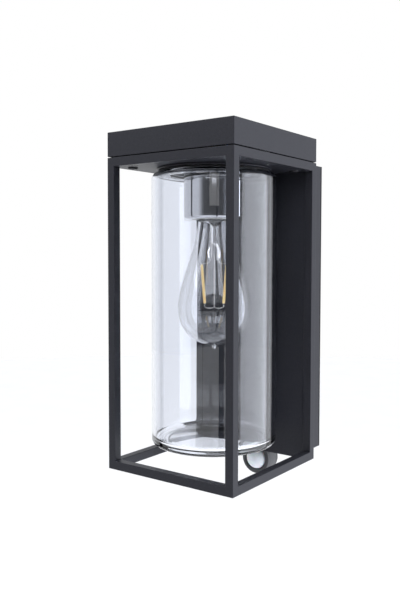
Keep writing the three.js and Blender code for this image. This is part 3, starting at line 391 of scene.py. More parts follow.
def rounded(corners, steps=5):
    """An outline from (radius, height, fillet in mm) corners; the two ends stay sharp."""
    points = [corners[0][:2]]
    for before, corner, after in zip(corners, corners[1:], corners[2:]):
        here = Vector(corner[:2])
        back, on = Vector(before[:2]) - here, Vector(after[:2]) - here
        size = corner[2] * MM
        half = back.angle(on) / 2
        if size <= 0 or 2 * half > STRAIGHT:
            points.append(tuple(here))
            continue
        reach = min(size / math.tan(half), 0.49 * back.length, 0.49 * on.length)
        size = reach * math.tan(half)
        back.normalize()
        on.normalize()
        centre = here + (back + on).normalized() * size / math.sin(half)
        start, end = here + back * reach - centre, here + on * reach - centre
        for i in range(steps + 1):
            points.append(tuple(centre + start.lerp(end, i / steps).normalized() * size))
    return [*points, corners[-1][:2]]


def ring_outline(inner, outer, bottom, top, fillet):
    """A ring's section with its four edges rounded, closed on itself."""
    seam = (inner, (bottom + top) / 2, 0)
    edges = [(inner, bottom), (outer, bottom), (outer, top), (inner, top)]
    return rounded([seam, *((*edge, fillet) for edge in edges), seam], 3)[:-1]


def turns(count):
    """Equal steps round a full turn, in radians."""
    return [2 * math.pi * i / count for i in range(count)]


def circle(shape, radius, height, segments):
    """A ring of points about Z, or one point where the radius is nil."""
    return [
        shape.verts.new((radius * math.cos(angle), radius * math.sin(angle), height))
        for angle in turns(1 if radius < NIL else segments)
    ]


def skin(shape, rings, closed=False):
    """Faces from each ring or point to the next; closed joins the last to the first."""
    for one, two in zip(rings, [*rings[1:], rings[0]] if closed else rings[1:]):
        count = max(len(one), len(two))
        for i in range(count):
            j = (i + 1) % count
            if len(one) == 1:
                shape.faces.new((one[0], two[j], two[i]))
            elif len(two) == 1:
                shape.faces.new((one[i], one[j], two[0]))
            else:
                shape.faces.new((one[i], one[j], two[j], two[i]))
    return shape


def lathe_shape(outline, segments=FINE):
    """A bmesh turned about Z. An outline that leaves the axis closes on itself."""
    shape = bmesh.new()
    rings = [circle(shape, *spot, segments) for spot in outline]
    return skin(shape, rings, closed=len(rings[0]) > 1)


def moved(shape, place, toward=None):
    """Turns a shape's +Z to a direction and puts its origin at a place."""
    if toward is not None:
        turn = Vector((0, 0, 1)).rotation_difference(Vector(toward)).to_matrix().to_4x4()
        shape.transform(turn)
    shape.transform(Matrix.Translation(place))
    return shape


def upright(shape, centre):
    """Moves a shape drawn about Z at its real heights to an upright axis."""
    return moved(shape, (centre.x, centre.y, 0))


def merged(*shapes):
    """One bmesh that holds several closed shapes."""
    total = bmesh.new()
    for shape in shapes:
        part = bpy.data.meshes.new("part")
        shape.to_mesh(part)
        shape.free()
        total.from_mesh(part)
        bpy.data.meshes.remove(part)
    return total


def boxes_shape(boxes):
    """The outer skin of boxes (low, high) that meet or overlap, as one closed shape."""
    steps = [sorted({round(spot[axis], 7) for pair in boxes for spot in pair}) for axis in range(3)]

    def inside(cell):
        spot = [(steps[a][cell[a]] + steps[a][cell[a] + 1]) / 2 for a in range(3)]
        return any(all(lo[a] < spot[a] < hi[a] for a in range(3)) for lo, hi in boxes)

    cells_in = {cell for cell in product(*(range(len(step) - 1) for step in steps)) if inside(cell)}
    shape = bmesh.new()
    corners = {}

    def corner(*place):
        if place not in corners:
            corners[place] = shape.verts.new([steps[a][place[a]] for a in range(3)])
        return corners[place]

    for cell, axis, side in product(sorted(cells_in), range(3), (0, 1)):
        beyond = list(cell)
        beyond[axis] += 1 if side else -1
        if tuple(beyond) in cells_in:
            continue
        across, along = [a for a in range(3) if a != axis]
        face = []
        for u, v in ((0, 0), (1, 0), (1, 1), (0, 1)):
            place = list(cell)
            place[axis] += side
            place[across] += u
            place[along] += v
            face.append(corner(*place))
        shape.faces.new(face)
    return shape


def cut_away(shape, *tools):
    """The shape less each closed tool, as a new bmesh."""
    held = []
    for part in (shape, *tools):
        mesh = bpy.data.meshes.new("held")
        bmesh.ops.recalc_face_normals(part, faces=part.faces)
        part.to_mesh(mesh)
        part.free()
        held.append(added("held", mesh))
    blank = held[0]
    for helper in held[1:]:
        boolean = blank.modifiers.new("cut", "BOOLEAN")
        boolean.operation = "DIFFERENCE"
        boolean.solver = "EXACT"
        boolean.object = helper
    bpy.context.view_layer.update()
    result = bmesh.new()
    result.from_object(blank, bpy.context.evaluated_depsgraph_get())
    for made in held:
        bpy.data.objects.remove(made)
    return result


def slab(x, y, z):
    """A plain box shape from its limits on each axis, in metres."""
    return boxes_shape([tuple(zip(x, y, z))])


def smooth_route(spots, steps=8):
    """Points on a smooth curve through the given spots."""
    points = [Vector(spot) for spot in spots]
    ends = [points[0] * 2 - points[1], *points, points[-1] * 2 - points[-2]]
    route = []
    for a, b, c, d in zip(ends, ends[1:], ends[2:], ends[3:]):
        for i in range(steps):
            t = i / steps
            route.append(0.5 * ((2 * b) + (c - a) * t + (2 * a - 5 * b + 4 * c - d) * t ** 2
                                + (3 * b - a - 3 * c + d) * t ** 3))
    return [*route, points[-1]]


def straight_route(start, end, count=24):
    return [start.lerp(end, i / count) for i in range(count + 1)]


def tube_shape(route, radius, sides=16, round_ends=False):
    """A closed round tube along a route of points."""
    shape = bmesh.new()
    rings = []
    normal = None
    for i, spot in enumerate(route):
        along = (route[min(i + 1, len(route) - 1)] - route[max(i - 1, 0)]).normalized()
        if normal is None:
            normal = along.orthogonal()
        normal = (normal - along * normal.dot(along)).normalized()
        side = along.cross(normal)
        rings.append([
            shape.verts.new(spot + (normal * math.cos(angle) + side * math.sin(angle)) * radius)
            for angle in turns(sides)
        ])
    skin(shape, rings)
    crown = 0.4 * radius if round_ends else 0
    for end, spot, before in ((rings[0], *route[:2]), (rings[-1], *route[:-3:-1])):
        tip = spot + (spot - before).normalized() * crown
        skin(shape, [end, [shape.verts.new(tip)]])
    return shape


# ---- frame and covers

FRAME_BARS = [
    "post_front_left", "post_front_right", "post_rear_left", "post_rear_right",
    "bottom_rail_front", "bottom_rail_left", "bottom_rail_right",
    "top_rail_front", "top_rail_rear", "top_rail_left", "top_rail_right",
]
SIDES = ("left", "right")
ENDS = ("front", "rear")
SHEET = 1.5 * MM
SEAL_WIDTH = 3.5 * MM


def make_frame():
    """All the welded bars as one skin, with small radii along every edge."""
    shape = boxes_shape([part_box(name) for name in FRAME_BARS])
    bevel(piece("frame_welded", shape, "coat", *FRAME_BARS))


def open_box(lowest, highest, wall, *open_sides):
    """The slabs of a sheet box with some sides open, each given as (axis, 0 or 1)."""
    slabs = []
    for axis, side in product(range(3), (0, 1)):
        if (axis, side) in open_sides:
            continue
        lo, hi = Vector(lowest), Vector(highest)
        if side:
            lo[axis] = hi[axis] - wall
        else:
            hi[axis] = lo[axis] + wall
        slabs.append((lo, hi))
    return slabs


def make_cap():
    """Folded cap, open underneath, with its four screw bosses inside."""
    lowest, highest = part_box("cap")
    boss_bottom, boss_top = high("top_plate").z + 0.2 * MM, highest.z - SHEET / 2
    boss = ring_outline(2.2 * MM, 4 * MM, boss_bottom, boss_top, 0.3)
    bosses = [
        upright(lathe_shape(boss, COARSE), middle(f"cap_screw_{end}_{side}"))
        for end, side in product(ENDS, SIDES)
    ]
    low_rim = high("top_rail_front").z + 0.7 * MM
    walls = open_box((lowest.x, lowest.y, low_rim), highest, SHEET, (2, 0))
    bevel(piece("cap_shell", boxes_shape(walls), "coat", "cap"), 0.6 * MM)
    piece("cap_bosses", merged(*bosses), "coat")


def make_folded_sheets():
    """The panel between the rear posts and the box behind it, both open to the wall."""
    for name, cad in (("back_panel", "back_plate"), ("wall_box_shell", "wall_box")):
        slabs = open_box(*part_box(cad), SHEET, (1, 1))
        bevel(piece(name, boxes_shape(slabs), "coat", cad), 0.7 * MM)


def make_wall_seal():
    """Foam strip round the box's rim."""
    strips = open_box(*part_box("wall_seal"), SEAL_WIDTH, (1, 0), (1, 1))
    bevel(piece("foam_seal", boxes_shape(strips), "rubber", "wall_seal"), 0.4 * MM)


def cross_cutter(size, depth):
    """The two tapered blades of a cross-head recess, opening upwards at Z = 0."""
    blades = []
    for turn in (0, math.pi / 2):
        blade = slab((-size, size), (-0.15 * size, 0.15 * size), (-depth, depth))
        for corner in blade.verts:
            if corner.co.z < 0:
                corner.co.x *= 0.45
        blade.transform(Matrix.Rotation(turn, 4, "Z"))
        blades.append(blade)
    return blades


def slot_cutter(radius, width, depth, top):
    """The blade of a slot right across a head, opening upwards at a height."""
    return slab((-2 * radius, 2 * radius), (-width / 2, width / 2), (top - depth, top + depth))


def screw_shape(head_radius, head_height, shank_radius, shank_length):
    """A pan-head screw about Z: the head's top is at Z = 0 and the shank points down."""
    end = -head_height - shank_length
    head = lathe_shape(rounded([
        (0, end, 0),
        (shank_radius * 0.7, end, 0),
        (shank_radius, end + shank_radius * 0.6, 0),
        (shank_radius, -head_height, 0),
        (head_radius, -head_height, 0.15),
        (head_radius, -0.55 * head_height, 0.5),
        (head_radius * 0.72, -0.1 * head_height, 1.2),
        (0, 0, 0),
    ]), COARSE)
    return cut_away(head, *cross_cutter(head_radius * 0.55, head_height * 0.6))


def make_screw(name, slot, head_radius, head_height, shank_radius, up):
    """A detailed screw in place of an upright CAD one; up is the way that its head faces."""
    bottom, top, centre, _ = sizes(name)
    toward = Vector((0, 0, up))
    half = max((top - bottom) / 2, head_height)
    shape = screw_shape(head_radius, head_height, shank_radius, 2 * half - head_height)
    piece(f"{name}_turned", moved(shape, centre + toward * half, toward), slot, name)


def make_screws():
    for side in SIDES:
        for end in ENDS:
            make_screw(f"cap_screw_{end}_{side}", "screw_black", 4.4 * MM, 1.6 * MM, 1.9 * MM, -1)
        make_screw(f"box_screw_{side}", "bright", 3.6 * MM, 2.2 * MM, 1.9 * MM, -1)
        make_screw(f"strap_screw_{side}", "zinc", 2.3 * MM, 1.6 * MM, 1.2 * MM, 1)


# ---- glass

JAR_PITCH = 4 * MM
JAR_THREAD = 0.9 * MM
ROWS_PER_TURN = 12


def thread_rings(shape, crest, depth, bottom, top, pitch, segments):
    """Rings of a wall with a right-hand thread cut in it, fading out at both ends."""
    rows = max(2, int((top - bottom) / (pitch / ROWS_PER_TURN)))
    rings = []
    for i in range(rows + 1):
        height = bottom + (top - bottom) * i / rows
        fade = min(1, 2 * (height - bottom) / pitch, 2 * (top - height) / pitch)
        ring = []
        for angle in turns(segments):
            wave = 0.5 + 0.5 * math.cos(2 * math.pi * height / pitch - angle)
            size = crest - depth * (1 - wave * fade)
            ring.append(shape.verts.new((size * math.cos(angle), size * math.sin(angle), height)))
        rings.append(ring)
    return rings


def make_jar():
    """The clear jar: thick rounded base, straight wall, round shoulder, threaded neck."""
    bottom, top, centre, radius = sizes("glass_jar")
    neck = 42.25 * MM
    wall, base, neck_wall = 3 * MM, 5 * MM, 3.5 * MM
    shoulder = low("jar_seal").z - 0.2 * MM
    outside = rounded([
        (0, bottom + 3.2 * MM, 0),
        (radius * 0.72, bottom + 2.6 * MM, 5),
        (radius * 0.8, bottom, 2),
        (radius * 0.86, bottom, 2),
        (radius, bottom + 0.8 * MM, 4.5),
        (radius, shoulder, 6),
        (neck, shoulder, 0.8),
        (neck, shoulder + 1.5 * MM, 0),
    ], 8)
    inside = rounded([
        (neck - 0.4 * MM, top - 1.2 * MM, 0),
        (neck - 0.5 * MM, top, 0.9),
        (neck - neck_wall, top, 1.2),
        (neck - neck_wall, shoulder - wall, 1.5),
        (radius - wall, shoulder - wall, 3),
        (radius - wall, bottom + base, 4.5),
        (0, bottom + base - 0.4 * MM, 0),
    ], 8)[1:]
    shape = bmesh.new()
    rings = [circle(shape, *spot, FINE) for spot in outside]
    rings += thread_rings(shape, neck + 0.5 * MM, JAR_THREAD, shoulder + 2 * MM, top - 1.2 * MM,
                          JAR_PITCH, FINE)
    rings += [circle(shape, *spot, FINE) for spot in inside]
    piece("jar_clear", upright(skin(shape, rings), centre), "jar_glass", "glass_jar", body="jar")


def make_jar_seal():
    bottom, top, centre, radius = sizes("jar_seal")
    shape = lathe_shape(ring_outline(43 * MM, radius, bottom, top, 0.6))
    piece("jar_seal_ring", upright(shape, centre), "rubber", "jar_seal", body="jar_ring")


def make_collar():
    """The collar that the jar screws into, its flange against the top plate."""
    bottom, top, centre, flange = sizes("jar_collar")
    bore, wall, lip = flange - 7 * MM, 3.4 * MM, 39.75 * MM
    flange_top = bottom + 1.6 * MM
    shape = lathe_shape(rounded([
        (bore, bottom + 3 * MM, 0),
        (bore, bottom, 0.4),
        (flange, bottom, 0.7),
        (flange, flange_top, 0.4),
        (bore + wall, flange_top, 0.2),
        (bore + wall, top, 0.6),
        (lip, top, 0.3),
        (lip, top - 1.5 * MM, 0.3),
        (bore, top - 1.5 * MM, 0.5),
        (bore, bottom + 3.1 * MM, 0),
    ], 4))
    piece("collar_turned", upright(shape, centre), "coat", "jar_collar")


# ---- lampholder

ENTRY = 5.3 * MM
CAP_PITCH = 3.62 * MM
CAP_THREAD = 0.55 * MM


def make_cup():
    """The spun metal cup: a soft bottom roll, straight wall and small top radius."""
    bottom, top, centre, radius = sizes("lampholder_cup")
    wall, mouth = 1.2 * MM, 19.8 * MM
    shape = lathe_shape(rounded([
        (mouth, bottom + wall / 2, 0),
        (mouth, bottom, 0.5),
        (radius, bottom, 2.6),
        (radius, top, 3),
        (ENTRY, top, 0.3),
        (ENTRY, top - wall, 0.3),
        (radius - wall, top - wall, 1.8),
        (radius - wall, bottom + wall, 1.5),
        (mouth, bottom + wall, 0.5),
        (mouth, bottom + wall * 0.6, 0),
    ], 8))
    piece("cup_spun", upright(shape, centre), "cup_metal", "lampholder_cup")


def make_socket():
    """Porcelain socket, its white rim showing inside the cup's mouth."""
    bottom, top, centre, radius = sizes("socket_body")
    bore, contact_bore = 15.2 * MM, 2.5 * MM
    floor = high("lamp_contact").z + 2.5 * MM
    shape = lathe_shape(rounded([
        (bore, bottom + 3 * MM, 0),
        (bore, bottom, 0.7),
        (radius, bottom, 0.8),
        (radius, top, 1),
        (ENTRY, top, 0.4),
        (ENTRY, top - 6 * MM, 0.3),
        (contact_bore, top - 6 * MM, 0.2),
        (contact_bore, floor, 0.3),
        (bore, floor, 0.8),
        (bore, bottom + 3.1 * MM, 0),
    ], 4), MEDIUM)
    piece("socket_porcelain", upright(shape, centre), "ceramic", "socket_body")


def make_socket_shell():
    """The brass shell that the lamp screws into."""
    bottom, top, centre, outer = sizes("socket_shell")
    shape = bmesh.new()
    rings = thread_rings(shape, 13.55 * MM, CAP_THREAD, bottom + 0.3 * MM, top - 0.3 * MM,
                         CAP_PITCH, MEDIUM)
    rings += [circle(shape, outer, height, MEDIUM) for height in (top, bottom)]
    skin(shape, rings, closed=True)
    piece("socket_threaded", upright(shape, centre), "brass", "socket_shell")


# ---- lamp

LAMP_TURN = math.radians(35)
# The envelope's outside as radius and depth below the centre contact, in millimetres.
ENVELOPE = [
    (14, 27.5), (15.3, 37), (19.6, 54), (25.4, 74), (30.2, 92),
    (32, 105), (29.6, 119), (22, 130), (10, 136.6), (0, 138),
]
FILAMENT_TOP = (11.2 * MM, -66 * MM)
FILAMENT_BOTTOM = (8.2 * MM, -102.5 * MM)
PRESS_BOTTOM = -63.5 * MM


def lamp_place():
    """The lamp's axis, at the height of its centre contact."""
    centre = middle("lamp_contact")
    return Vector((centre.x, centre.y, high("lamp_contact").z))


def lamp_piece(name, shape, slot, *stands_for, body="lamp"):
    """A piece of the lamp from a shape drawn downwards from the contact."""
    shape.transform(Matrix.Rotation(LAMP_TURN, 4, "Z"))
    piece(name, moved(shape, lamp_place()), slot, *stands_for, body=body)


def make_envelope():
    """Blown glass: neck inside the cap, pear shape, exhaust tip at the bottom."""
    smooth = smooth_route([(radius * MM, 0, -depth * MM) for radius, depth in ENVELOPE], 7)
    outside = [(max(spot.x, 0), spot.z) for spot in smooth]
    wall = 0.35 * MM
    inside = []
    for before, here, after in zip(outside, outside[1:], outside[2:]):
        along = (Vector(after) - Vector(before)).normalized()
        inside.append((here[0] - abs(along.y) * wall, here[1] + abs(along.x) * wall))
    top = low("lamp_cap").z - lamp_place().z - 0.3 * MM
    neck, throat = 13.2 * MM, 11.9 * MM
    outline = [
        (0, -142 * MM),
        (0.9 * MM, -141.6 * MM),
        (1.5 * MM, -140.4 * MM),
        (1.75 * MM, -139 * MM),
        *(spot for spot in reversed(outside) if spot[0] > 2.6 * MM),
        (neck, top - 0.8 * MM),
        (throat, top),
        (throat, top + 6 * MM),
        (throat - wall, top + 6 * MM),
        (throat - wall, top - 0.6 * MM),
        (neck - wall, top - 1.6 * MM),
        *(spot for spot in inside if spot[0] > 1.2 * MM),
        (0, -136.9 * MM),
    ]
    lamp_piece("lamp_bulb", lathe_shape(outline), "lamp_glass", "lamp_envelope")


def make_stem():
    """The glass stem: a flare in the neck, a tube, and a flattened press at the end."""
    top = low("lamp_cap").z - lamp_place().z + 2 * MM
    shape = lathe_shape(rounded([
        (0, PRESS_BOTTOM, 0),
        (4.4 * MM, PRESS_BOTTOM, 2.4),
        (6.2 * MM, PRESS_BOTTOM + 7 * MM, 4),
        (3.2 * MM, PRESS_BOTTOM + 15 * MM, 5),
        (3.2 * MM, top - 10 * MM, 6),
        (10.4 * MM, top - 2 * MM, 3),
        (10.4 * MM, top, 0.4),
        (9.6 * MM, top, 0.4),
        (9.4 * MM, top - 2 * MM, 3),
        (2.2 * MM, top - 10.5 * MM, 6),
        (2.2 * MM, PRESS_BOTTOM + 15 * MM, 1),
        (0, PRESS_BOTTOM + 13.5 * MM, 0),
    ], 6), MEDIUM)
    for vertex in shape.verts:
        above = (vertex.co.z - PRESS_BOTTOM) / (13 * MM)
        vertex.co.y *= 0.45 + 0.55 * min(1, max(0, above)) ** 2
    lamp_piece("lamp_stem_glass", shape, "lamp_glass", "lamp_stem")


def make_filaments():
    """Two coated strips with metal end tabs, hung from the lead wires."""
    for number, side in ((1, -1), (2, 1)):
        top = Vector((side * FILAMENT_TOP[0], 0, FILAMENT_TOP[1]))
        bottom = Vector((side * FILAMENT_BOTTOM[0], 0, FILAMENT_BOTTOM[1]))
        along = (bottom - top).normalized() * MM
        strip = straight_route(top + along * 1.4, bottom - along * 1.4)
        coated = tube_shape(strip, 1.2 * MM, 20, round_ends=True)
        lamp_piece(f"filament_{number}_coat", coated, "phosphor", f"lamp_filament_{number}")
        lead = smooth_route([
            (side * 1.6 * MM, 0, PRESS_BOTTOM + 12 * MM),
            (side * 2.2 * MM, 0, PRESS_BOTTOM + 5 * MM),
            (side * 3.2 * MM, 0, PRESS_BOTTOM + 0.5 * MM),
            (side * 5.5 * MM, 0, PRESS_BOTTOM - 2.2 * MM),
            (side * 9.5 * MM, 0, PRESS_BOTTOM - 2.6 * MM),
            (top.x + side * 0.2 * MM, 0, top.z - 0.2 * MM),
        ])
        metal = merged(
            tube_shape(lead, 0.36 * MM, 12),
            tube_shape([top - along * 0.4, top + along * 1.6], 0.5 * MM, 12),
            tube_shape([bottom - along * 1.6, bottom + along * 0.4], 0.5 * MM, 12),
        )
        lamp_piece(f"filament_{number}_leads", metal, "bright")


def make_support():
    """The middle wire from the press, its two arms hooked to the strips' lower ends."""
    hook, end = FILAMENT_BOTTOM
    foot = end - 2.6 * MM
    middle_wire = straight_route(Vector((0, 0, PRESS_BOTTOM + 4 * MM)), Vector((0, 0, foot)))
    parts = [tube_shape(middle_wire, 0.42 * MM, 12)]
    for side in (-1, 1):
        arm = smooth_route([
            (0, 0, foot + 0.3 * MM),
            (side * 3 * MM, 0, foot - 0.4 * MM),
            (side * 6.4 * MM, 0, foot - 0.1 * MM),
            (side * (hook + 0.2 * MM), 0, foot + 1.2 * MM),
            (side * (hook + 0.1 * MM), 0, end + 0.4 * MM),
        ])
        parts.append(tube_shape(arm, 0.34 * MM, 12))
    lamp_piece("lamp_support_wires", merged(*parts), "bright", "lamp_support")


def make_lamp_cap():
    """The screw cap: plain skirt at the glass, rolled thread, shoulder at the insulator."""
    bottom, top, _, _ = sizes("lamp_cap")
    radius, wall, skirt = 13.25 * MM, 0.6 * MM, 12.4 * MM
    root = radius - CAP_THREAD
    inner = root - wall
    shape = bmesh.new()
    # The thread's phase is kept in the lantern's frame, so that cap and shell mesh.
    rings = thread_rings(shape, radius, CAP_THREAD, bottom + 5 * MM, top - 1 * MM, CAP_PITCH, FINE)
    rings += [circle(shape, *spot, FINE) for spot in (
        (root - 0.4 * MM, top - 0.4 * MM),
        (root - 1.3 * MM, top),
        (inner - 1.2 * MM, top),
        (inner, top - 1.2 * MM),
        (inner, bottom + 5.2 * MM),
        (skirt, bottom + 4.4 * MM),
        (skirt, bottom),
        (radius - 0.2 * MM, bottom),
        (radius, bottom + 0.2 * MM),
        (radius, bottom + 3.6 * MM),
        (root, bottom + 4.4 * MM),
    )]
    skin(shape, rings, closed=True)
    piece("lamp_screw_cap", upright(shape, lamp_place()), "bright", "lamp_cap", body="lamp")


def make_lamp_base():
    """The black glass insulator and the soldered centre contact."""
    contact_bottom, contact_top, _, _ = sizes("lamp_contact")
    bottom, top = (corner.z - contact_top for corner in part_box("lamp_cap_insulator"))
    insulator = lathe_shape(rounded([
        (0, bottom, 0),
        (11.4 * MM, bottom, 0.5),
        (10.6 * MM, bottom + 0.9 * MM, 0.8),
        (5.6 * MM, top, 0.4),
        (0, top, 0),
    ]), MEDIUM)
    lamp_piece("cap_insulator", insulator, "black_plastic", "lamp_cap_insulator")
    contact = contact_top - contact_bottom
    solder = lathe_shape(rounded([
        (0, -contact, 0),
        (4.8 * MM, -contact, 0.2),
        (4.6 * MM, -0.5 * MM, 0.5),
        (2.2 * MM, -0.12 * MM, 1.5),
        (0, 0, 0),
    ]), COARSE)
    lamp_piece("contact_solder", solder, "bright", "lamp_contact", body="lamp_tip")


# ---- motion sensor

LENS_RINGS = 4
FACETS_PER_RING = 6
GROOVE_DEPTH = 0.22 * MM
GROOVE_WIDTH = 0.045
SPOKE_SHARPNESS = 2.4


def front_piece(name, shape, slot, cad):
    """A piece from a shape drawn about Z, from the CAD node's rear towards the front."""
    centre = middle(cad)
    piece(name, moved(shape, (centre.x, high(cad).y, centre.z), (0, -1, 0)), slot, cad)


def depth_of(name):
    return high(name).y - low(name).y


def peg(radius, bottom, top, segments=COARSE):
    """A plain cylinder about Z."""
    return lathe_shape([(0, bottom), (radius, bottom), (radius, top), (0, top)], segments)


def make_sensor_tube():
    """The sensor's tube, with holes for its dials and its neck."""
    _, _, centre, radius = sizes("sensor_body")
    outline = ring_outline(radius - 1.7 * MM, radius, 0, depth_of("sensor_body"), 0.35)
    rear = (centre.x, high("sensor_body").y, centre.z)
    tube = moved(lathe_shape(outline), rear, (0, -1, 0))
    holes = [
        moved(peg(3.1 * MM, -4 * MM, 4 * MM), middle(dial)) for dial in ("time_dial", "light_dial")
    ]
    neck = middle("sensor_neck")
    holes.append(moved(peg(4.9 * MM, 0, 20 * MM), (neck.x, neck.y, centre.z)))
    piece("sensor_tube", cut_away(tube, *holes), "black_plastic", "sensor_body")


def make_sensor_bezel():
    radius = half_width("sensor_bezel")
    depth, bore = depth_of("sensor_bezel"), 10.45 * MM
    shape = lathe_shape(rounded([
        (bore, depth / 2, 0),
        (bore, 0, 0.2),
        (radius, 0, 0.3),
        (radius, depth, 0.9),
        (bore + 1.6 * MM, depth, 0.8),
        (bore, depth - 1.3 * MM, 0.5),
        (bore, depth / 2 - 0.05 * MM, 0),
    ], 5))
    front_piece("sensor_ring", shape, "black_plastic", "sensor_bezel")


def lens_height(angle, share, height):
    """The lens dome's height at a share of its radius, with its facets pressed in."""
    flatness = 1 - share ** 2
    dome = height * (0.55 * flatness ** 0.5 + 0.45 * flatness)
    across = share * LENS_RINGS
    facets = max(1, FACETS_PER_RING * math.ceil(across - 1e-6))
    turn = angle / (2 * math.pi) * facets
    from_spoke = abs(turn - round(turn)) * share * SPOKE_SHARPNESS
    groove = min(abs(across - round(across)), from_spoke)
    return dome - GROOVE_DEPTH * math.exp(-(groove / GROOVE_WIDTH) ** 2) * (1 - share ** 6)


def make_sensor_lens():
    """The milky dome, its inside face and the flange that the bezel holds."""
    rear, flange = high("sensor_lens").y, half_width("sensor_lens")
    radius = 10.15 * MM
    inner = radius - 1 * MM
    flange_top = rear - (high("sensor_bezel").y + 0.2 * MM)
    rise = rear - (low("sensor_bezel").y + 1 * MM)
    dome = depth_of("sensor_lens") - rise
    segments, rows = 144, 44
    shape = bmesh.new()
    rings = [circle(shape, 0, rise + dome, segments)]
    for i in range(1, rows + 1):
        share = i / rows
        size = share * radius
        rings.append([
            shape.verts.new((size * math.cos(angle), size * math.sin(angle),
                             rise + lens_height(angle, share, dome)))
            for angle in turns(segments)
        ])
    rings += [circle(shape, *spot, segments) for spot in (
        (radius, flange_top),
        (flange, flange_top),
        (flange, 0),
        (inner, 0),
        (inner, rise - 0.4 * MM),
        (inner * 0.9, rise + dome * 0.22),
        (inner * 0.6, rise + dome * 0.6),
        (inner * 0.3, rise + dome * 0.78),
        (0, rise + dome - 1 * MM),
    )]
    front_piece("sensor_dome", skin(shape, rings), "lens_plastic", "sensor_lens")


def make_sensor_cover():
    radius = half_width("sensor_cover")
    depth = depth_of("sensor_cover")
    shape = lathe_shape(rounded([
        (0, 0.3 * MM, 0),
        (radius * 0.7, 0.3 * MM, 1),
        (radius * 0.78, 0, 0.4),
        (radius, 0, 0.5),
        (radius, depth, 0.2),
        (0, depth, 0),
    ]))
    front_piece("sensor_back", shape, "black_plastic", "sensor_cover")


def make_dials():
    """Two small adjusting dials with a slot and an arrow tip, in the tube's underside."""
    for name, body in (("time_dial", "time_knob"), ("light_dial", "light_knob")):
        bottom, top, place, radius = sizes(name)
        length = top - bottom
        outline = rounded([(0, -length, 0), (radius, -length, 0.2), (radius, 0, 0.45), (0, 0, 0)])
        slot = slab((-1.9 * MM, 1.9 * MM), (-0.4 * MM, 0.4 * MM), (-0.9 * MM, 1 * MM))
        tip = moved(peg(0.95 * MM, -0.9 * MM, 1 * MM, 3), (1.35 * MM, 0, 0))
        shape = cut_away(lathe_shape(outline, MEDIUM), slot, tip)
        moved(shape, (place.x, place.y, bottom), (0, 0, -1))
        piece(f"{name}_cap", shape, "white_plastic", name, body=body)


# ---- wall fixing and wires

WIRE_RADIUS = 1.2 * MM


def make_grommet():
    """Rubber cable inlet held in the bracket's hole."""
    lip = half_width("inlet_grommet")
    depth, bore, groove = depth_of("inlet_grommet"), 5 * MM, 7.7 * MM
    shape = lathe_shape(rounded([
        (bore, 1 * MM, 0),
        (bore, 0, 0.5),
        (groove, 0, 0.3),
        (groove, 1.7 * MM, 0.1),
        (lip, 1.7 * MM, 0.5),
        (lip, 3.1 * MM, 0.6),
        (5.9 * MM, depth, 0.6),
        (bore, depth, 0.3),
        (bore, 1.1 * MM, 0),
    ]))
    front_piece("inlet_rubber", shape, "rubber", "inlet_grommet")


def make_earth_screw():
    """The slotted earthing screw's head."""
    _, _, centre, radius = sizes("earth_screw")
    depth = depth_of("earth_screw")
    blank = lathe_shape(rounded([
        (0, 0, 0),
        (radius, 0, 0.2),
        (radius, depth * 0.6, 0.5),
        (radius * 0.6, depth, 0.6),
        (0, depth, 0),
    ]), MEDIUM)
    head = cut_away(blank, slot_cutter(radius, 0.9 * MM, 1.1 * MM, depth))
    moved(head, (centre.x, low("earth_screw").y, centre.z), (0, 1, 0))
    piece("earth_screw_head", head, "brass", "earth_screw")


def make_wire(name, slot, cad, spots, steps=8):
    """A round wire on the same route as the CAD one."""
    piece(name, tube_shape(smooth_route(spots, steps), WIRE_RADIUS), slot, cad)


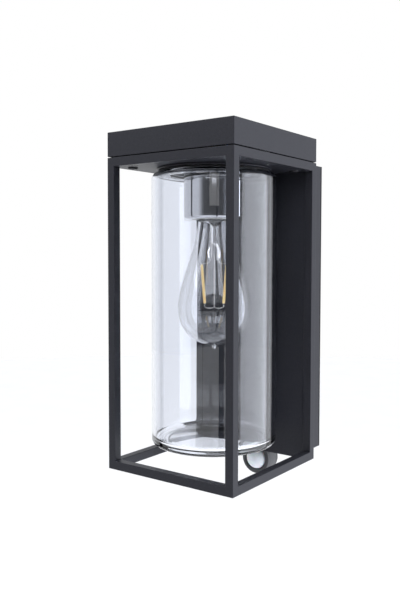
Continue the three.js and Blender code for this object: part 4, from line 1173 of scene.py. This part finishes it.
def make_wires():
    """The lamp's two wires, the earth wire and the sensor's lead."""
    bottom, top, block, half_block = sizes("terminal_block")
    wire_y, pole = block.y, half_block * 2 / 3
    box_front = low("wall_box").y + SHEET
    climb = box_front + 6 * MM
    frame_rear = high("post_rear_left").y
    bar = frame_rear - low("post_rear_left").y
    bar_front = frame_rear - bar
    axis_y = middle("glass_jar").y
    nipple_low, nipple_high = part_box("holder_nipple")
    plate_top = high("top_plate").z
    hole = (plate_top + high("wall_box").z - SHEET) / 2
    for name, side, slot in (("neutral", -1, "wire_blue"), ("live", 1, "wire_brown")):
        cad = f"lamp_wire_{name}"
        start, x, near = side * pole, side * 1.5 * MM, side * 1.45 * MM
        peak = high(cad).z - WIRE_RADIUS
        make_wire(f"{cad}_insulated", slot, cad, (
            (start, wire_y, top - 4 * MM),
            (start, wire_y, top + 8 * MM),
            (x + (start - x) * 0.4, climb, top + 30 * MM),
            (x, climb, hole - 25 * MM),
            (x, climb - 1 * MM, hole - 7 * MM),
            (x, box_front + 1.4 * MM, hole - 0.5 * MM),
            (x, frame_rear - bar / 2, hole),
            (x, bar_front - 2.5 * MM, hole + 0.4 * MM),
            (x, bar_front - 8 * MM, plate_top + 9 * MM),
            (x, bar_front - 20 * MM, peak - 4 * MM),
            (x, axis_y + 20 * MM, peak - 0.5 * MM),
            (near, axis_y + 6 * MM, peak),
            (near, axis_y + 1.2 * MM, peak - 1.6 * MM),
            (near, axis_y, nipple_high.z - 1 * MM),
            (near, axis_y, nipple_low.z),
        ), 6)
    screw = middle("earth_screw")
    make_wire("earth_wire_insulated", "wire_earth", "earth_wire", (
        (0, wire_y, bottom + 4 * MM),
        (0, wire_y, bottom - 6 * MM),
        (8 * MM, wire_y, bottom - 15 * MM),
        (screw.x - 9 * MM, wire_y, screw.z + 2 * MM),
        (screw.x - 5.4 * MM, box_front + 2.2 * MM, screw.z),
    ))
    sensor_y, sensor_top = middle("sensor_neck").y, high("sensor_body").z
    floor = low("wall_box").z + SHEET
    make_wire("sensor_lead_sheathed", "wire_grey", "sensor_lead", (
        (-pole, wire_y, bottom + 4 * MM),
        (-pole, wire_y, bottom - 8 * MM),
        (-pole + 2 * MM, climb, bottom - 30 * MM),
        (-8 * MM, climb, -60 * MM),
        (-4 * MM, climb, floor + 30 * MM),
        (-0.6 * MM, sensor_y - 1 * MM, floor + 14 * MM),
        (0, sensor_y, floor + 6 * MM),
        (0, sensor_y, sensor_top),
        (0, sensor_y, sensor_top - 6 * MM),
    ))


def make_terminals():
    """Slotted clamping screws in the terminal block's three poles."""
    _, _, centre, half = sizes("terminal_block")
    radius = 1.9 * MM
    outline = rounded([(0, -2 * MM, 0), (radius, -2 * MM, 0.2), (radius, 0, 0.3), (0, 0, 0)])
    heads = []
    for step in (-1, 0, 1):
        head = cut_away(lathe_shape(outline, COARSE), slot_cutter(radius, 0.6 * MM, 0.8 * MM, 0))
        place = (centre.x + step * half * 2 / 3, high("terminal_block").y - 1.2 * MM, centre.z)
        heads.append(moved(head, place, (0, 1, 0)))
    piece("terminal_screws", merged(*heads), "zinc")


KEPT_WELD = 0.005 * MM
# The CAD nodes that keep their own shape, with a softened edge and a finish.
KEPT = {
    "coat": ["top_plate"],
    "zinc": ["wall_bracket", "collar_lock_ring", "holder_nut", "holder_strap"],
    "brass": ["socket_contact", "holder_nipple"],
    "white_plastic": ["terminal_block"],
    "board": ["sensor_board"],
    "bright": ["sensor_element"],
    "black_plastic": ["sensor_neck"],
}


def finish_kept_nodes():
    for slot, names in KEPT.items():
        for name in names:
            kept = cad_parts[name]
            kept.data.materials.clear()
            kept.data.materials.append(FINISH[slot])
            weld = kept.modifiers.new("weld", "WELD")
            weld.merge_threshold = KEPT_WELD
            bevel(kept, 0.2 * MM, 2)


# ---- stage, light, camera

CAMERA_AZIMUTH = 35.47
CAMERA_ELEVATION = 2.72
CAMERA_ROLL = 0.15
CAMERA_DISTANCE = 0.6328
AIM_FROM_MIDDLE = Vector((-1.3, 0.5, 24.4)) * MM
LENS = 42.32
SHIFT = (-0.034, -0.0195)
MIDDLE = (CAD_BOX[0] + CAD_BOX[1]) / 2
FLOOR_DROP = 1.6
FLOOR_RADIUS = 12
# The light from behind the camera, and where it fades in, as a cosine to the camera.
ROOM_GLOW = 0.1
GLOW_FADE = (0.45, 0.8)


def camera_side():
    """The direction from the lantern to the camera."""
    azimuth, elevation = math.radians(CAMERA_AZIMUTH), math.radians(CAMERA_ELEVATION)
    return Vector((
        math.sin(azimuth) * math.cos(elevation),
        -math.cos(azimuth) * math.cos(elevation),
        math.sin(elevation),
    ))


def make_camera():
    camera = bpy.data.cameras.new("camera")
    camera.lens = LENS
    camera.shift_x, camera.shift_y = SHIFT
    camera.clip_start = 0.01
    eye = added("camera", camera)
    roll = Matrix.Rotation(math.radians(CAMERA_ROLL), 3, "Z")
    turn = camera_side().to_track_quat("Z", "Y").to_matrix() @ roll
    place = MIDDLE + AIM_FROM_MIDDLE + camera_side() * CAMERA_DISTANCE
    eye.matrix_world = Matrix.Translation(place) @ turn.to_4x4()
    bpy.context.scene.camera = eye


def make_stage():
    """A wide pale floor well below the lantern."""
    floor = bpy.data.meshes.new("floor")
    ground = peg(FLOOR_RADIUS, -0.02, 0)
    bmesh.ops.recalc_face_normals(ground, faces=ground.faces)
    ground.to_mesh(floor)
    ground.free()
    pale = material("pale_floor", (0.9, 0.9, 0.9), 0.9)
    vary_color(pale, noise(pale, 0.3), (0.89, 0.89, 0.89), (0.91, 0.91, 0.91))
    floor.materials.append(pale)
    made = added("floor", floor)
    made.location.z = CAD_BOX[0].z - FLOOR_DROP


def make_surround():
    """White seen directly; as light, white with a dim room behind the camera."""
    world = bpy.data.worlds.new("surround")
    bpy.context.scene.world = world
    world.use_nodes = True
    direction = node(world, "ShaderNodeTexCoord").outputs["Generated"]
    toward_camera = node(world, "ShaderNodeVectorMath", operation="DOT_PRODUCT")
    toward_camera.inputs[1].default_value = camera_side()
    wire_up(world, direction, toward_camera.inputs[0])
    facing = toward_camera.outputs["Value"]
    strength = ranged(world, facing, 1.0, ROOM_GLOW, *GLOW_FADE, "SMOOTHSTEP")
    seen = node(world, "ShaderNodeLightPath").outputs["Is Camera Ray"]
    brightest = node(world, "ShaderNodeMath", operation="MAXIMUM")
    wire_up(world, strength, brightest.inputs[0])
    wire_up(world, seen, brightest.inputs[1])
    tint = node(world, "ShaderNodeMix", data_type="RGBA", A=(0.955, 0.97, 1, 1), B=(1, 1, 1, 1))
    wire_up(world, seen, tint.inputs["Factor"])
    background = world.node_tree.nodes["Background"]
    wire_up(world, brightest.outputs["Value"], background.inputs["Strength"])
    wire_up(world, tint.outputs["Result"], background.inputs["Color"])


def soft_light(name, place, size, power, color):
    """A rectangular light aimed at the lantern's middle and hidden from the camera."""
    lamp = bpy.data.lights.new(name, "AREA")
    lamp.shape = "RECTANGLE"
    lamp.size, lamp.size_y = size
    lamp.energy = power
    lamp.color = color
    made = added(name, lamp)
    made.location = place
    made.rotation_euler = (MIDDLE - Vector(place)).to_track_quat("-Z", "Y").to_euler()
    made.visible_camera = False


def make_lights():
    soft_light("right", (1.45, 0.62, -0.1), (1.9, 3.4), 48, (0.88, 0.915, 1))
    soft_light("front_left", (-1.0, -1.2, 1.1), (1.0, 1.0), 8, (0.95, 0.97, 1))
    soft_light("strip", (0.9, -1.3, 0.42), (0.5, 0.3), 0.5, (1, 1, 1))
    soft_light("above_camera", (0.75, -1.15, 0.95), (1.8, 0.8), 15, (0.97, 0.98, 1))
    sun = bpy.data.lights.new("overhead", "SUN")
    sun.energy = 0.85
    sun.angle = math.radians(30)
    added("overhead", sun).location = (0, 0, 2)
    bpy.context.scene.view_settings.view_transform = "Standard"


make_camera()
make_stage()
make_surround()
make_lights()
make_frame()
make_cap()
make_folded_sheets()
make_wall_seal()
make_screws()
make_jar()
make_jar_seal()
make_collar()
make_cup()
make_socket()
make_socket_shell()
make_envelope()
make_stem()
make_filaments()
make_support()
make_lamp_cap()
make_lamp_base()
make_sensor_tube()
make_sensor_bezel()
make_sensor_lens()
make_sensor_cover()
make_dials()
make_grommet()
make_earth_screw()
make_wires()
make_terminals()
finish_kept_nodes()
